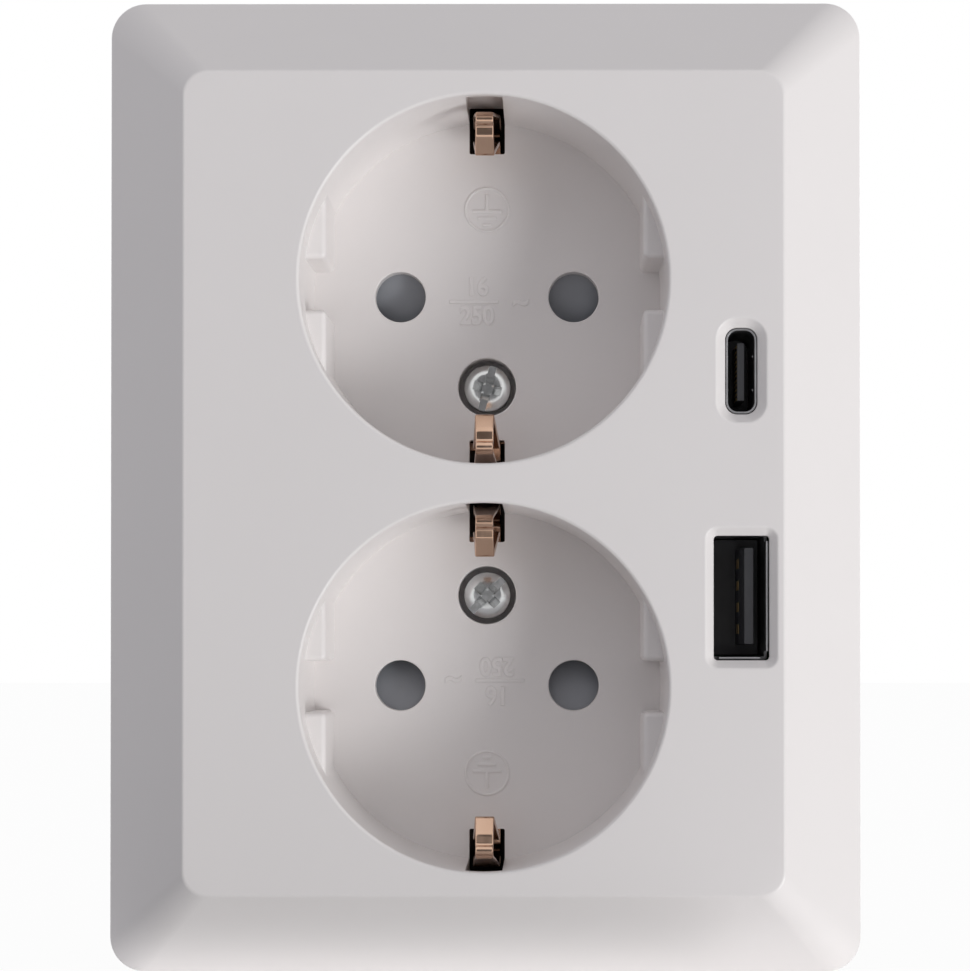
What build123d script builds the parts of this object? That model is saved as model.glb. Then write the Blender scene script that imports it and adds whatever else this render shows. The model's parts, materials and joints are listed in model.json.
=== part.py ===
from build123d import *
import os

os.makedirs("parts", exist_ok=True)

# A double wall socket with two charging ports. Millimetres. The wall is the plane y = 0,
# +Y goes into the wall, +X is right and +Z is up as seen from the room.

# Cover plate
PLATE_R = 3.7  # corner radius at the wall
FACE_SIDE = 4.45  # flat front beyond the middle of the ports
FACE_END = 2.5  # flat front beyond a well
FACE_R = 2.6  # corner radius of the flat front
PROUD = 9.5  # height of the flat front above the wall
LIP = 1.2  # straight edge beside the wall
SHELL = 2.2  # wall thickness of the moulding
RIM_T = 2.4  # width of the rear edge that lies on the wall
FACE_ROUND = 0.5  # rounding where the front meets the border
LIP_ROUND = 0.4  # rounding where the border meets the straight edge

# Plug wells
WELL_R = 19.25  # radius at the front, inside the rounded rim
WELL_WEB = 4.1  # between the two wells
WELL_DRAFT = 0.25  # loss of radius from the front to the floor
WELL_DEPTH = 17.5
WELL_WALL = 1.6
FLOOR_T = 2.2
RIM_ROUND = 0.4
PIN_PITCH = 19.0
PIN_HOLE_R = 2.75
PIN_R = 2.4  # a plug's own pin
PIN_LENGTH = 19.0
PIN_TIP_GAP = 1.2  # from the tip of a pin to the base

# Guide lugs on both sides of a well
LUG_X = 16.75  # from the well's centre to the flat of a lug
LUG_GAP = 5.4  # slot between the two lugs of one side
LUG_DROP = 5.0  # from the front down to the lugs
LUG_ROUND = 0.35

# Notches for the earth clips
NOTCH_W = 3.9
NOTCH_R = 15.7  # from the well's centre to the notch in the floor
NOTCH_DROP = 1.2  # from the front down to the notch in the wall

# Cover screws
SCREW_OFFSET = 9.9  # from a well's centre towards the middle of the plate
SCREW_RECESS_R = 3.17
SCREW_BOSS_WALL = 1.2
SCREW_HEAD_R = 2.55
SCREW_HEAD_T = 1.9
SCREW_SINK = 1.3  # from the well floor down to the head
SCREW_R = 1.5
SCREW_TAIL = 4.0  # thread below the earth strap
SCREW_FIT = 0.05  # between a thread and its hole
SCREW_PASS = 0.4  # between a thread and a clear hole
DRIVE_W = 0.8  # width of the slot and of the cross
SLOT_D = 0.6
CROSS_D = 1.1
CROSS_REACH = 1.7
UPPER_DRIVE_ANGLE = 75.0  # slot direction in the upper well
LOWER_DRIVE_ANGLE = 45.0  # slot direction in the lower well

# Clearances
RUN_GAP = 0.3  # between a moving piece and its guides
SEAT_GAP = 0.3  # between mouldings that slip into one another

# Shutters
SHUTTER_T = 3.0
SHUTTER_LAP = 1.45  # cover beyond the edge of a pin hole
SHUTTER_SIDE = 0.65  # cover beyond the outer side of a pin hole
SHUTTER_TRAVEL = 7.0
RAMP_D = 2.2  # depth of the ramp that a pin slides down
GUIDE_T = 1.2
POCKET_W = 3.4  # pocket for the return spring
POCKET_Z = 1.5  # pocket's reach past the middle of the slider
SPRING_END = 13.2  # from a well's centre to the spring's fixed end
SPRING_R = 1.15  # mean radius of a coil
SPRING_WIRE = 0.4
SPRING_TURNS = 6
SPRING_GAP = 0.1

# Earth straps and clips
STRAP_T = 1.0
STRAP_W = 6.0
STRAP_GAP = 0.5  # behind a shutter
CLIP_T = 0.45
CLIP_W = 2.1
CLIP_ROOT_W = 3.5
CLIP_R = 18.4  # from a well's centre to the upright leg
CLIP_FOLD_R = 17.6  # to the fold at the front
CLIP_FOLD_DROP = 3.2  # from the front down to the fold
CLIP_NOSE_R = 14.1  # to the nose that meets a plug
CLIP_NOSE_DROP = 6.0
CLIP_NOSE_FLAT = 2.0
CLIP_CROWN = 0.35  # share of the ramp's drop at its middle
CLIP_TAIL_R = 16.6
CLIP_TAIL_DROP = 15.5
CLIP_WIDE_DROP = 12.0  # where the leg has its full width

# Insert between the shutters and the contacts
INSERT_T = 2.0
INSERT_W = 40.0
INSERT_MARGIN = 0.8  # between the insert and the base wall
PIN_CLEAR = 0.6  # around a plug's pin

# Contact bars
BAR_T = 0.7
BAR_ROOM = 2.7  # between the bars and the base floor
GRIP_PINCH = 0.15  # how far a pin spreads each leaf
GRIP_LEG = 9.0  # length of the free leaf
GRIP_END = 4.2  # from a pin's centre to the turn of the strip
BAR_RIB_W = 2.4
BAR_RIB_L = 5.0
BAR_RIB_Z = 7.5  # height of the ribs that carry a bar

# Base
BASE_WALL = 1.8
BASE_CORNER = 1.0  # corner radius inside the base
BASE_ROUND = 1.2  # rounding of the base's rear edge
WELL_CLEAR = 0.85  # between a well and the base
BOARD_GAP = 1.55  # between a well and the boards in a side chamber
BOARD_END = 0.7  # between a board's end and the side chamber
FLANGE_T = 1.2
FLANGE_LAP = 2.4
WIRE_HOLE_R = 1.2
WIRE_PITCH = 2.8  # between the two wires of one clamp
WIRE_FUNNEL = 0.5

# Mounting frame
FRAME_T = 1.0
FRAME_INSET = 1.1  # inside the cover's rear edge
FRAME_SIDE = 2.7  # width of the sheet beside the base
FRAME_END = 3.1  # width of the sheet above and below the base
BOX_PITCH = 60.0  # between the upper and lower wall screws
BOX_EDGE = 2.2  # between the base and the slot of a wall screw
BOX_SLOT_L = 8.0
BOX_SLOT_R = 2.1
RIVET_R = 0.8
RIVET_HEAD_R = 1.1
RIVET_HEAD_T = 0.7
RIVET_X = 14.0

# Insert screws
INSERT_SCREW_X = 17.0
INSERT_SCREW_R = 1.1
INSERT_HEAD_R = 2.0
INSERT_HEAD_T = 1.4
POST_R = 2.6

# Wire clamps
CLAMP_W = 6.0
CLAMP_T = 0.4
CLAMP_EDGE = 1.7  # between a clamp and the wall of its chamber
CLAMP_H = 3.5
CLAMP_OPEN = 5.6
CLAMP_ARM_T = 0.8
LIVE_CLAMP_Z = 14.0
EARTH_CLAMP_Z = 6.0
NEUTRAL_CLAMP_Z = -9.0
LINK_X = 6.5
LINK_W = 3.0
LINK_LAP = 0.75  # of a strap's tab past the strap's end

# Ports
USB_C_Z = 11.7
USB_A_Z = -12.0
USB_C_BEVEL = 0.95  # sloping edge round the small port
USB_A_BEVEL = 0.85  # sloping edge round the large port
PORT_WEB = 0.35
PORT_GAP = 0.05
USB_C_W = 8.94
USB_C_T = 3.26
USB_A_W = 13.0
USB_A_T = 5.8
USB_A_SHIFT = 0.24  # the large port sits this far up and left in its opening
USB_A_CORNER = 0.4
USB_A_NOTCH = 0.8
PORT_WALL = 0.3
TONGUE_SINK = 1.0
C_TONGUE_W = 6.0
C_TONGUE_T = 0.7
A_TONGUE_W = 10.2
A_TONGUE_T = 1.5
A_TONGUE_SHIFT = 0.9
PORT_BACK_T = 3.0  # insulator at the back of a port
PAD_T = 0.1
C_PAD_W = 0.25
C_PAD_PITCH = 0.5
C_PADS = 12
A_PAD_W = 1.0
A_PAD_PITCH = 2.3
A_PADS = 4
PAD_L = 5.0

# Charger boards and components
BOARD_T = 1.2
BOARD_W = 9.0
BOARD_H = 40.0
PORT_BOARD_Y = 4.5
CHIP_ROOM = 1.8  # between the power board and a wire clamp
SPACER_R = 1.3
SPACER_INSET = 1.5
CORE_W = 4.6
CORE_H = 11.0
CORE_D = 9.5
CORE_YOKE = 1.8
CORE_LEG = 3.0
COIL_T = 1.3
COIL_GAP = 0.15
PARTS_SHIFT = 0.8  # the wide components stand left of the board's middle
HEADER_W = 1.2
HEADER_H = 6.0
CAP_R = 3.9
CAP_L = 9.0
CAP_Z = 10.7
OUT_CAP_R = 3.1
OUT_CAP_L = 8.0
OUT_CAP_Z = -10.0
RECTIFIER_W = 3.0
RECTIFIER_D = 3.0
RECTIFIER_H = 2.2
RECTIFIER_Z = 15.9
CHIP_W = 4.0
CHIP_D = 1.4
CHIP_H = 5.0
CHIP_Z = 8.0
FUSE_R = 1.5
FUSE_L = 5.0
FUSE_Z = -15.5
LEAD_R = 0.6
LEAD_Z = 4.0
LEAD_BEND = 1.0
LEAD_IN = 2.4  # from the board's middle to the leads

# Derived places
FRONT_Y = -PROUD
FLOOR_Y = FRONT_Y + WELL_DEPTH
FLOOR_BACK = FLOOR_Y + FLOOR_T
WELL_PITCH = 2 * WELL_R + WELL_WEB
WELL_OUT_R = WELL_R + WELL_WALL
SHUTTER_Y = FLOOR_BACK + RUN_GAP
STRAP_Y = SHUTTER_Y + SHUTTER_T + STRAP_GAP
INSERT_Y = STRAP_Y + STRAP_T
INSERT_BACK = INSERT_Y + INSERT_T
BAR_Y = INSERT_BACK + SEAT_GAP
BASE_FLOOR_Y = FLOOR_Y + PIN_LENGTH + PIN_TIP_GAP
BASE_DEPTH = BASE_FLOOR_Y + BASE_WALL
BAR_BACK = BASE_FLOOR_Y - BAR_ROOM
MAIN_IN_W = 2 * (WELL_OUT_R + WELL_CLEAR)
MAIN_IN_H = WELL_PITCH + 2 * (WELL_OUT_R + WELL_CLEAR)
SIDE_IN_W = 2 * (WELL_OUT_R + BOARD_GAP + BOARD_W + SEAT_GAP)
SIDE_IN_H = BOARD_H + 2 * BOARD_END
FRAME_W = SIDE_IN_W + 2 * (BASE_WALL + SEAT_GAP + FRAME_SIDE)
FRAME_H = MAIN_IN_H + 2 * (BASE_WALL + SEAT_GAP + FRAME_END)
PLATE_W = FRAME_W + 2 * (FRAME_INSET + RIM_T)
PLATE_H = FRAME_H + 2 * (FRAME_INSET + RIM_T)
BOX_X = MAIN_IN_W / 2 + BASE_WALL + SEAT_GAP + BOX_EDGE + BOX_SLOT_L / 2
SHUTTER_HALF_Z = PIN_HOLE_R + SHUTTER_LAP
SHUTTER_HALF_X = PIN_PITCH / 2 + PIN_HOLE_R + SHUTTER_SIDE
SCREW_SEAT_Y = FLOOR_Y + SCREW_SINK + SCREW_HEAD_T
GRIP_HALF = PIN_R - GRIP_PINCH + BAR_T / 2
BAR_X = PIN_PITCH / 2 + GRIP_HALF
CLAMP_Y = BAR_BACK - CLAMP_H
POWER_BOARD_Y = CLAMP_Y - CHIP_ROOM - BOARD_T
CLAMP_X = SIDE_IN_W / 2 - CLAMP_EDGE - CLAMP_W / 2
STRAP_REACH = CLIP_R - 2 * CLIP_T - CLIP_ROOT_W / 2
LINK_Z = WELL_PITCH / 2 - STRAP_REACH + LINK_LAP
BOARD_X = SIDE_IN_W / 2 - SEAT_GAP - BOARD_W / 2
PORT_X = BOARD_X
PARTS_X = BOARD_X - PARTS_SHIFT
FACE_W = 2 * (PORT_X + FACE_SIDE)
FACE_H = WELL_PITCH + 2 * (WELL_R + FACE_END)
POST_Z = BOARD_H / 2 - SPACER_INSET
POST_XS = (BOARD_X - BOARD_W / 2 + SPACER_INSET, BOARD_X + BOARD_W / 2 - SPACER_INSET)
RIVET_Z = MAIN_IN_H / 2 + BASE_WALL + FLANGE_LAP / 2 + SEAT_GAP / 2
C_FRONT_Y = FRONT_Y + USB_C_BEVEL
A_WEB_Y = FRONT_Y + USB_A_BEVEL + PORT_WEB
A_FRONT_Y = A_WEB_Y + PORT_GAP
A_X = PORT_X - USB_A_SHIFT
A_Z = USB_A_Z + USB_A_SHIFT


def slab(sketch, y0, y1):
    """Extrude a sketch drawn in X and Z from depth y0 to depth y1."""
    return extrude(Plane.XZ.offset(-y1) * sketch, amount=y1 - y0)


def rod(x, z, radius, y0, y1):
    """Round bar along Y."""
    return slab(Pos(x, z) * Circle(radius), y0, y1)


def block(x0, x1, y0, y1, z0, z1):
    """Box between two corners."""
    corner = Pos(x0, y0, z0)
    return corner * Box(x1 - x0, y1 - y0, z1 - z0, align=(Align.MIN,) * 3)


def strip(points, radii, thickness):
    """Face of a bent strip whose middle line runs through the points."""
    return trace(FilletPolyline(*points, radius=radii), thickness)


def upper(shape):
    """Place a shape drawn about a well's centre in the upper well."""
    return Pos(0, 0, WELL_PITCH / 2) * shape


def lower(shape):
    """Place a shape drawn about a well's centre in the lower well, turned half round."""
    return Pos(0, 0, -WELL_PITCH / 2) * Rot(0, 180, 0) * shape


def save(shape, name):
    export_step(shape, f"parts/{name}.step")


def at_depth(sketch, y):
    """Move a sketch drawn in X and Z to depth y."""
    return Plane.XZ.offset(-y) * sketch


def frustum(front, front_y, back, back_y):
    """Solid between two outlines at two depths."""
    return loft([at_depth(back, back_y), at_depth(front, front_y)])


def mirrored(shape, plane):
    """A shape and its mirror image."""
    return shape + mirror(shape, about=plane)


def base_outline(margin):
    """Tall middle for the wells, crossed by the two side chambers, grown by a margin."""
    corner = BASE_CORNER + margin
    middle = RectangleRounded(MAIN_IN_W + 2 * margin, MAIN_IN_H + 2 * margin, corner)
    sides = RectangleRounded(SIDE_IN_W + 2 * margin, SIDE_IN_H + 2 * margin, corner)
    return middle + sides


# Front cover


def plate_shell():
    """Hollow bevelled plate, open towards the wall."""
    foot = RectangleRounded(PLATE_W, PLATE_H, PLATE_R)
    face = RectangleRounded(FACE_W, FACE_H, FACE_R)
    plate = slab(foot, -LIP, 0) + frustum(face, FRONT_Y, foot, -LIP)
    plate = fillet(plate.faces().sort_by(Axis.Y)[0].edges(), FACE_ROUND)
    lip_edges = plate.edges().filter_by(lambda e: abs(e.center().Y + LIP) < LIP_ROUND / 10)
    plate = fillet(lip_edges, LIP_ROUND)
    climb = (PROUD - SHELL - LIP) / (PROUD - LIP)
    room_w = PLATE_W - 2 * RIM_T
    room_h = PLATE_H - 2 * RIM_T
    room = RectangleRounded(room_w, room_h, PLATE_R / 2)
    ceiling = RectangleRounded(
        room_w - climb * (PLATE_W - FACE_W), room_h - climb * (PLATE_H - FACE_H), FACE_R / 2
    )
    return plate - slab(room, -LIP, 0) - frustum(ceiling, FRONT_Y + SHELL, room, -LIP)


def lug_blocks():
    """Four guide lugs about a well's centre, rounded where a plug meets them."""
    top = FRONT_Y + LUG_DROP
    lug = block(LUG_X, WELL_OUT_R, top, FLOOR_BACK, LUG_GAP / 2, WELL_OUT_R)
    corner = Vector(LUG_X, top, LUG_GAP / 2)
    seen = lug.edges().filter_by(lambda e: min((e @ t - corner).length for t in (0, 1)) < LUG_ROUND)
    lug = fillet(seen, LUG_ROUND)
    return mirrored(mirrored(lug, Plane.XY), Plane.YZ)


def well_space():
    """Everything that is cut from the cover for one well, about its centre."""
    cone = Cone(WELL_R - WELL_DRAFT, WELL_R, WELL_DEPTH, align=(Align.CENTER, Align.CENTER, Align.MIN))
    space = Plane((0, FLOOR_Y, 0), z_dir=(0, -1, 0)) * cone - lug_blocks()
    half = NOTCH_W / 2
    notch = block(-half, half, FRONT_Y + NOTCH_DROP, FLOOR_BACK, NOTCH_R, WELL_OUT_R)
    space += mirrored(notch, Plane.XY)
    for x in (-PIN_PITCH / 2, PIN_PITCH / 2):
        space += rod(x, 0, PIN_HOLE_R, FLOOR_Y, FLOOR_BACK)
    space += rod(0, -SCREW_OFFSET, SCREW_RECESS_R, FLOOR_Y, SCREW_SEAT_Y)
    space += rod(0, -SCREW_OFFSET, SCREW_R + SCREW_PASS, SCREW_SEAT_Y, STRAP_Y)
    return space


def well_cup():
    """Wall, floor and screw boss of one well, still solid."""
    cup = rod(0, 0, WELL_OUT_R, FRONT_Y + SHELL / 2, FLOOR_BACK)
    return cup + rod(0, -SCREW_OFFSET, SCREW_RECESS_R + SCREW_BOSS_WALL, FLOOR_Y, STRAP_Y)


def port_space():
    """Openings of both ports with their sloping edges."""
    c_hole = SlotOverall(USB_C_W + 2 * PORT_GAP, USB_C_T + 2 * PORT_GAP, rotation=90)
    c_edge = SlotOverall(USB_C_W + 2 * USB_C_BEVEL, USB_C_T + 2 * USB_C_BEVEL, rotation=90)
    c_place = Pos(PORT_X, USB_C_Z)
    space = frustum(c_place * c_edge, FRONT_Y, c_place * c_hole, C_FRONT_Y)
    space += slab(c_place * c_hole, C_FRONT_Y, FRONT_Y + SHELL)
    a_hole = RectangleRounded(USB_A_T, USB_A_W, USB_A_CORNER)
    a_edge = RectangleRounded(
        USB_A_T + 2 * USB_A_BEVEL, USB_A_W + 2 * USB_A_BEVEL, USB_A_CORNER + USB_A_BEVEL / 2
    )
    margin = 2 * (USB_A_SHIFT + SEAT_GAP)
    a_place = Pos(PORT_X, USB_A_Z)
    space += frustum(a_place * a_edge, FRONT_Y, a_place * a_hole, FRONT_Y + USB_A_BEVEL)
    space += slab(a_place * a_hole, FRONT_Y + USB_A_BEVEL, A_WEB_Y)
    space += slab(a_place * Rectangle(USB_A_T + margin, USB_A_W + margin), A_WEB_Y, FRONT_Y + SHELL)
    return space


def front_cover():
    cover = plate_shell() + upper(well_cup()) + lower(well_cup())
    cover = cover - upper(well_space()) - lower(well_space()) - port_space()
    front = cover.faces().sort_by(Axis.Y)[0]
    rims = front.edges().filter_by(GeomType.CIRCLE).filter_by(lambda e: e.radius > WELL_R - RIM_ROUND)
    return fillet(rims, RIM_ROUND)


save(front_cover(), "front_cover")


# Cover screws


def cover_screw(angle):
    """Pan head screw with a slot and a cross, drawn about a well's centre."""
    top = SCREW_SEAT_Y - SCREW_HEAD_T
    head = rod(0, 0, SCREW_HEAD_R, top, SCREW_SEAT_Y)
    head = fillet(head.edges().sort_by(Axis.Y)[0], SCREW_HEAD_T / 4)
    shank = rod(0, 0, SCREW_R, SCREW_SEAT_Y, INSERT_Y + SCREW_TAIL)
    slot = slab(Rectangle(2 * SCREW_HEAD_R, DRIVE_W), top, top + SLOT_D)
    arm = Rectangle(2 * CROSS_REACH, DRIVE_W)
    cross = slab(arm + Rot(0, 0, 90) * arm, top, top + CROSS_D)
    screw = head + shank - slot - cross
    return Pos(0, 0, -SCREW_OFFSET) * Rot(0, -angle, 0) * screw


upper_screw = upper(cover_screw(UPPER_DRIVE_ANGLE))
lower_screw = lower(cover_screw(LOWER_DRIVE_ANGLE))
save(Compound(children=[upper_screw, lower_screw]), "cover_screws")


# Shutters and their springs


def shutter():
    """Slider over both pin holes, with a ramp behind each hole."""
    back = SHUTTER_Y + SHUTTER_T
    half_x = SHUTTER_HALF_X
    half_z = SHUTTER_HALF_Z
    slider = block(-half_x, half_x, SHUTTER_Y, back, -half_z, half_z)
    wedge = Polygon(
        (SHUTTER_Y, PIN_HOLE_R), (SHUTTER_Y, -half_z), (SHUTTER_Y + RAMP_D, -half_z), align=None
    )
    ramp_x = PIN_PITCH / 2 - PIN_HOLE_R - SHUTTER_SIDE
    ramp = extrude(Plane.YZ.offset(ramp_x) * wedge, amount=half_x - ramp_x)
    slider -= mirrored(ramp, Plane.YZ)
    return slider - block(-POCKET_W / 2, POCKET_W / 2, SHUTTER_Y, back, -POCKET_Z, half_z)


def shutter_spring():
    """Return spring between the slider's pocket and its fixed end."""
    start = -POCKET_Z + SPRING_GAP + SPRING_WIRE / 2
    height = SPRING_END - SPRING_GAP - SPRING_WIRE / 2 - start
    coil = Helix(pitch=height / SPRING_TURNS, height=height, radius=SPRING_R)
    wire = sweep(Plane(coil @ 0, z_dir=coil % 0) * Circle(SPRING_WIRE / 2), path=coil, is_frenet=True)
    return Pos(0, SHUTTER_Y + SHUTTER_T / 2, start) * wire


for place, name in ((upper, "upper"), (lower, "lower")):
    save(place(shutter()), f"{name}_shutter")
    save(place(shutter_spring()), f"{name}_shutter_spring")


# Earth straps, each with two sprung clips, and the bar that joins them


def earth_clip():
    """One clip at the top of a well: upright leg, fold, ramp, nose and tail."""
    root = STRAP_Y + CLIP_T / 2
    fold = FRONT_Y + CLIP_FOLD_DROP
    nose = FRONT_Y + CLIP_NOSE_DROP
    crown_y = fold + (nose - fold) * CLIP_CROWN
    points = (
        (root, STRAP_W),
        (root, CLIP_R),
        (fold, CLIP_FOLD_R),
        (crown_y, (CLIP_FOLD_R + CLIP_NOSE_R) / 2),
        (nose, CLIP_NOSE_R),
        (nose + CLIP_NOSE_FLAT, CLIP_NOSE_R),
        (FRONT_Y + CLIP_TAIL_DROP, CLIP_TAIL_R),
    )
    radii = (2 * CLIP_T, CLIP_T, 4 * CLIP_T, CLIP_T, 2 * CLIP_T)
    spring = extrude(Plane.YZ * strip(points, radii, CLIP_T), amount=CLIP_W / 2, both=True)
    leg = trace(Line((root, CLIP_R), (fold, CLIP_FOLD_R)), CLIP_T)
    wide = extrude(Plane.YZ * leg, amount=CLIP_ROOT_W / 2, both=True)
    flare = Polygon(
        (-CLIP_W / 2, fold + CLIP_T),
        (CLIP_W / 2, fold + CLIP_T),
        (CLIP_ROOT_W / 2, FRONT_Y + CLIP_WIDE_DROP),
        (CLIP_ROOT_W / 2, root),
        (-CLIP_ROOT_W / 2, root),
        (-CLIP_ROOT_W / 2, FRONT_Y + CLIP_WIDE_DROP),
        align=None,
    )
    return spring + (wide & extrude(flare, amount=WELL_R))


def earth_strap():
    """Strap behind a well floor with a clip at each end, drawn about the well's centre."""
    strap = block(-STRAP_W / 2, STRAP_W / 2, STRAP_Y, INSERT_Y, -STRAP_REACH, STRAP_REACH)
    strap += mirrored(earth_clip(), Plane.XY)
    hole = rod(0, -SCREW_OFFSET, SCREW_R + SCREW_FIT, STRAP_Y, INSERT_Y)
    return strap - hole


def earth_tab(side):
    """Tab on a strap's inner end, under the joining bar."""
    z = side * LINK_Z
    return block(-LINK_X - LINK_W / 2, 0, STRAP_Y, INSERT_Y, z - LINK_W / 2, z + LINK_W / 2)


def earth_link():
    """Bar on both tabs, with an arm that is folded back to the earth clamp."""
    half = LINK_W / 2
    y0 = STRAP_Y - STRAP_T
    z_end = LINK_Z + half
    bar = block(-LINK_X - half, -LINK_X + half, y0, STRAP_Y, -z_end, z_end)
    left = -CLAMP_X - CLAMP_W / 2
    arm = block(left, -LINK_X, y0, STRAP_Y, EARTH_CLAMP_Z - half, EARTH_CLAMP_Z + CLAMP_ARM_T / 2)
    fold = block(left, left + CLAMP_W, y0, BAR_BACK, *clamp_face(EARTH_CLAMP_Z))
    return bar + arm + fold


def clamp_face(z):
    """Lower and upper side of the metal that a clamp presses a wire on."""
    return z - CLAMP_ARM_T / 2, z + CLAMP_ARM_T / 2


save(upper(earth_strap()) + earth_tab(1), "upper_earth_clip")
save(lower(earth_strap()) + earth_tab(-1), "lower_earth_clip")
save(earth_link(), "earth_link")


# Insert that carries the straps, the shutter guides and the springs' fixed ends


def insert_front():
    """Guides and spring stop of one well, drawn about its centre."""
    inner = SHUTTER_HALF_X + RUN_GAP
    guide = block(
        inner, inner + GUIDE_T, SHUTTER_Y, INSERT_Y, -SHUTTER_HALF_Z, SHUTTER_HALF_Z + SHUTTER_TRAVEL
    )
    half = STRAP_W / 2 + SEAT_GAP
    stop = block(-half - GUIDE_T, half + GUIDE_T, SHUTTER_Y, INSERT_Y, SPRING_END, SPRING_END + GUIDE_T)
    passage = block(-half, half, STRAP_Y - SEAT_GAP, INSERT_Y, SPRING_END, SPRING_END + GUIDE_T)
    return mirrored(guide, Plane.YZ) + (stop - passage)


def insert_holes():
    """Pin and screw holes of one well, drawn about its centre."""
    holes = rod(0, -SCREW_OFFSET, SCREW_R + SCREW_PASS, INSERT_Y, INSERT_BACK)
    for x in (-PIN_PITCH / 2, PIN_PITCH / 2):
        holes += rod(x, 0, PIN_R + PIN_CLEAR, INSERT_Y, INSERT_BACK)
    return holes


def contact_cover():
    sheet = Rectangle(INSERT_W, MAIN_IN_H - 2 * INSERT_MARGIN)
    insert = slab(sheet, INSERT_Y, INSERT_BACK) - upper(insert_holes()) - lower(insert_holes())
    insert += upper(insert_front()) + lower(insert_front())
    for x in (-INSERT_SCREW_X, INSERT_SCREW_X):
        insert -= rod(x, 0, INSERT_SCREW_R + SCREW_FIT, INSERT_Y, INSERT_BACK)
    return insert


save(contact_cover(), "contact_cover")


# Contact bars and wire clamps


def contact_bar(side, arm_z):
    """Folded strip with two leaves at each pin and an arm to its wire clamp."""
    pin_x = side * PIN_PITCH / 2
    outer = pin_x + side * GRIP_HALF
    inner = pin_x - side * GRIP_HALF
    turn = WELL_PITCH / 2 + GRIP_END
    points = (
        (inner, turn - GRIP_LEG),
        (inner, turn),
        (outer, turn),
        (outer, -turn),
        (inner, -turn),
        (inner, GRIP_LEG - turn),
    )
    bar = slab(strip(points, GRIP_HALF - BAR_T, BAR_T), BAR_Y, BAR_BACK)
    end = side * (CLAMP_X + CLAMP_W / 2)
    return bar + block(min(outer, end), max(outer, end), CLAMP_Y, BAR_BACK, *clamp_face(arm_z))


def clamp_spring(side, z):
    """Folded leaf that presses a wire on the metal above it."""
    back = z - CLAMP_OPEN
    tip = z - CLAMP_ARM_T / 2 - CLAMP_T / 2 - SPRING_GAP
    points = ((BAR_BACK, back), (CLAMP_Y, back), (BAR_BACK - CLAMP_T, tip))
    face = strip(points, CLAMP_T, CLAMP_T)
    return extrude(Plane.YZ.offset(side * CLAMP_X - CLAMP_W / 2) * face, amount=CLAMP_W)


save(contact_bar(-1, LIVE_CLAMP_Z), "live_contact_bar")
save(contact_bar(1, NEUTRAL_CLAMP_Z), "neutral_contact_bar")
CLAMPS = (("live", -1, LIVE_CLAMP_Z), ("earth", -1, EARTH_CLAMP_Z), ("neutral", 1, NEUTRAL_CLAMP_Z))
for name, side, z in CLAMPS:
    save(clamp_spring(side, z), f"{name}_clamp_spring")


# Base


def wire_entry(x, z):
    """Hole in the base floor with a funnel on the outside."""
    place = Pos(x, z)
    funnel_y = BASE_DEPTH - WIRE_FUNNEL
    mouth = place * Circle(WIRE_HOLE_R + WIRE_FUNNEL / 2)
    hole = place * Circle(WIRE_HOLE_R)
    return slab(hole, BASE_FLOOR_Y, funnel_y) + frustum(hole, funnel_y, mouth, BASE_DEPTH)


def rear_base():
    mouth = -FRAME_T - FLANGE_T
    base = slab(base_outline(BASE_WALL), -FRAME_T, BASE_DEPTH)
    base = fillet(base.faces().sort_by(Axis.Y)[-1].edges(), BASE_ROUND)
    base += slab(base_outline(BASE_WALL + FLANGE_LAP), mouth, -FRAME_T)
    base -= slab(base_outline(0), mouth, BASE_FLOOR_Y)
    for side in (-1, 1):
        base += rod(side * INSERT_SCREW_X, 0, POST_R, INSERT_BACK, BASE_FLOOR_Y)
        base -= rod(side * INSERT_SCREW_X, 0, INSERT_SCREW_R + SCREW_FIT, INSERT_BACK, BASE_FLOOR_Y)
        for z in (-BAR_RIB_Z, BAR_RIB_Z):
            rib = Pos(side * BAR_X, z) * Rectangle(BAR_RIB_W, BAR_RIB_L)
            base += slab(rib, BAR_BACK, BASE_FLOOR_Y)
    for x in POST_XS:
        for z in (-POST_Z, POST_Z):
            base += rod(x, z, SPACER_R, POWER_BOARD_Y + BOARD_T, BASE_FLOOR_Y)
    for name, side, z in CLAMPS:
        rib_top = z - CLAMP_OPEN - CLAMP_T / 2
        x = side * CLAMP_X
        base += block(
            x - CLAMP_W / 2, x + CLAMP_W / 2, CLAMP_Y, BASE_FLOOR_Y, rib_top - BASE_WALL, rib_top
        )
        for wire_x in (x - WIRE_PITCH / 2, x + WIRE_PITCH / 2):
            base -= wire_entry(wire_x, z - CLAMP_ARM_T / 2 - WIRE_HOLE_R)
    for x in (-RIVET_X, RIVET_X):
        for z in (-RIVET_Z, RIVET_Z):
            base -= rod(x, z, RIVET_R + SCREW_FIT, mouth, -FRAME_T)
    return base


def insert_screw(x):
    """Screw that holds the insert on a post of the base."""
    head = rod(x, 0, INSERT_HEAD_R, INSERT_Y - INSERT_HEAD_T, INSERT_Y)
    slot = Pos(x, 0) * Rectangle(2 * INSERT_HEAD_R, SLOT_D)
    head -= slab(slot, INSERT_Y - INSERT_HEAD_T, INSERT_Y - SLOT_D)
    return head + rod(x, 0, INSERT_SCREW_R, INSERT_Y, BASE_FLOOR_Y - BASE_WALL)


save(rear_base(), "rear_base")
screws = [insert_screw(x) for x in (-INSERT_SCREW_X, INSERT_SCREW_X)]
save(Compound(children=screws), "insert_screws")


# Mounting frame and rivets


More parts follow.
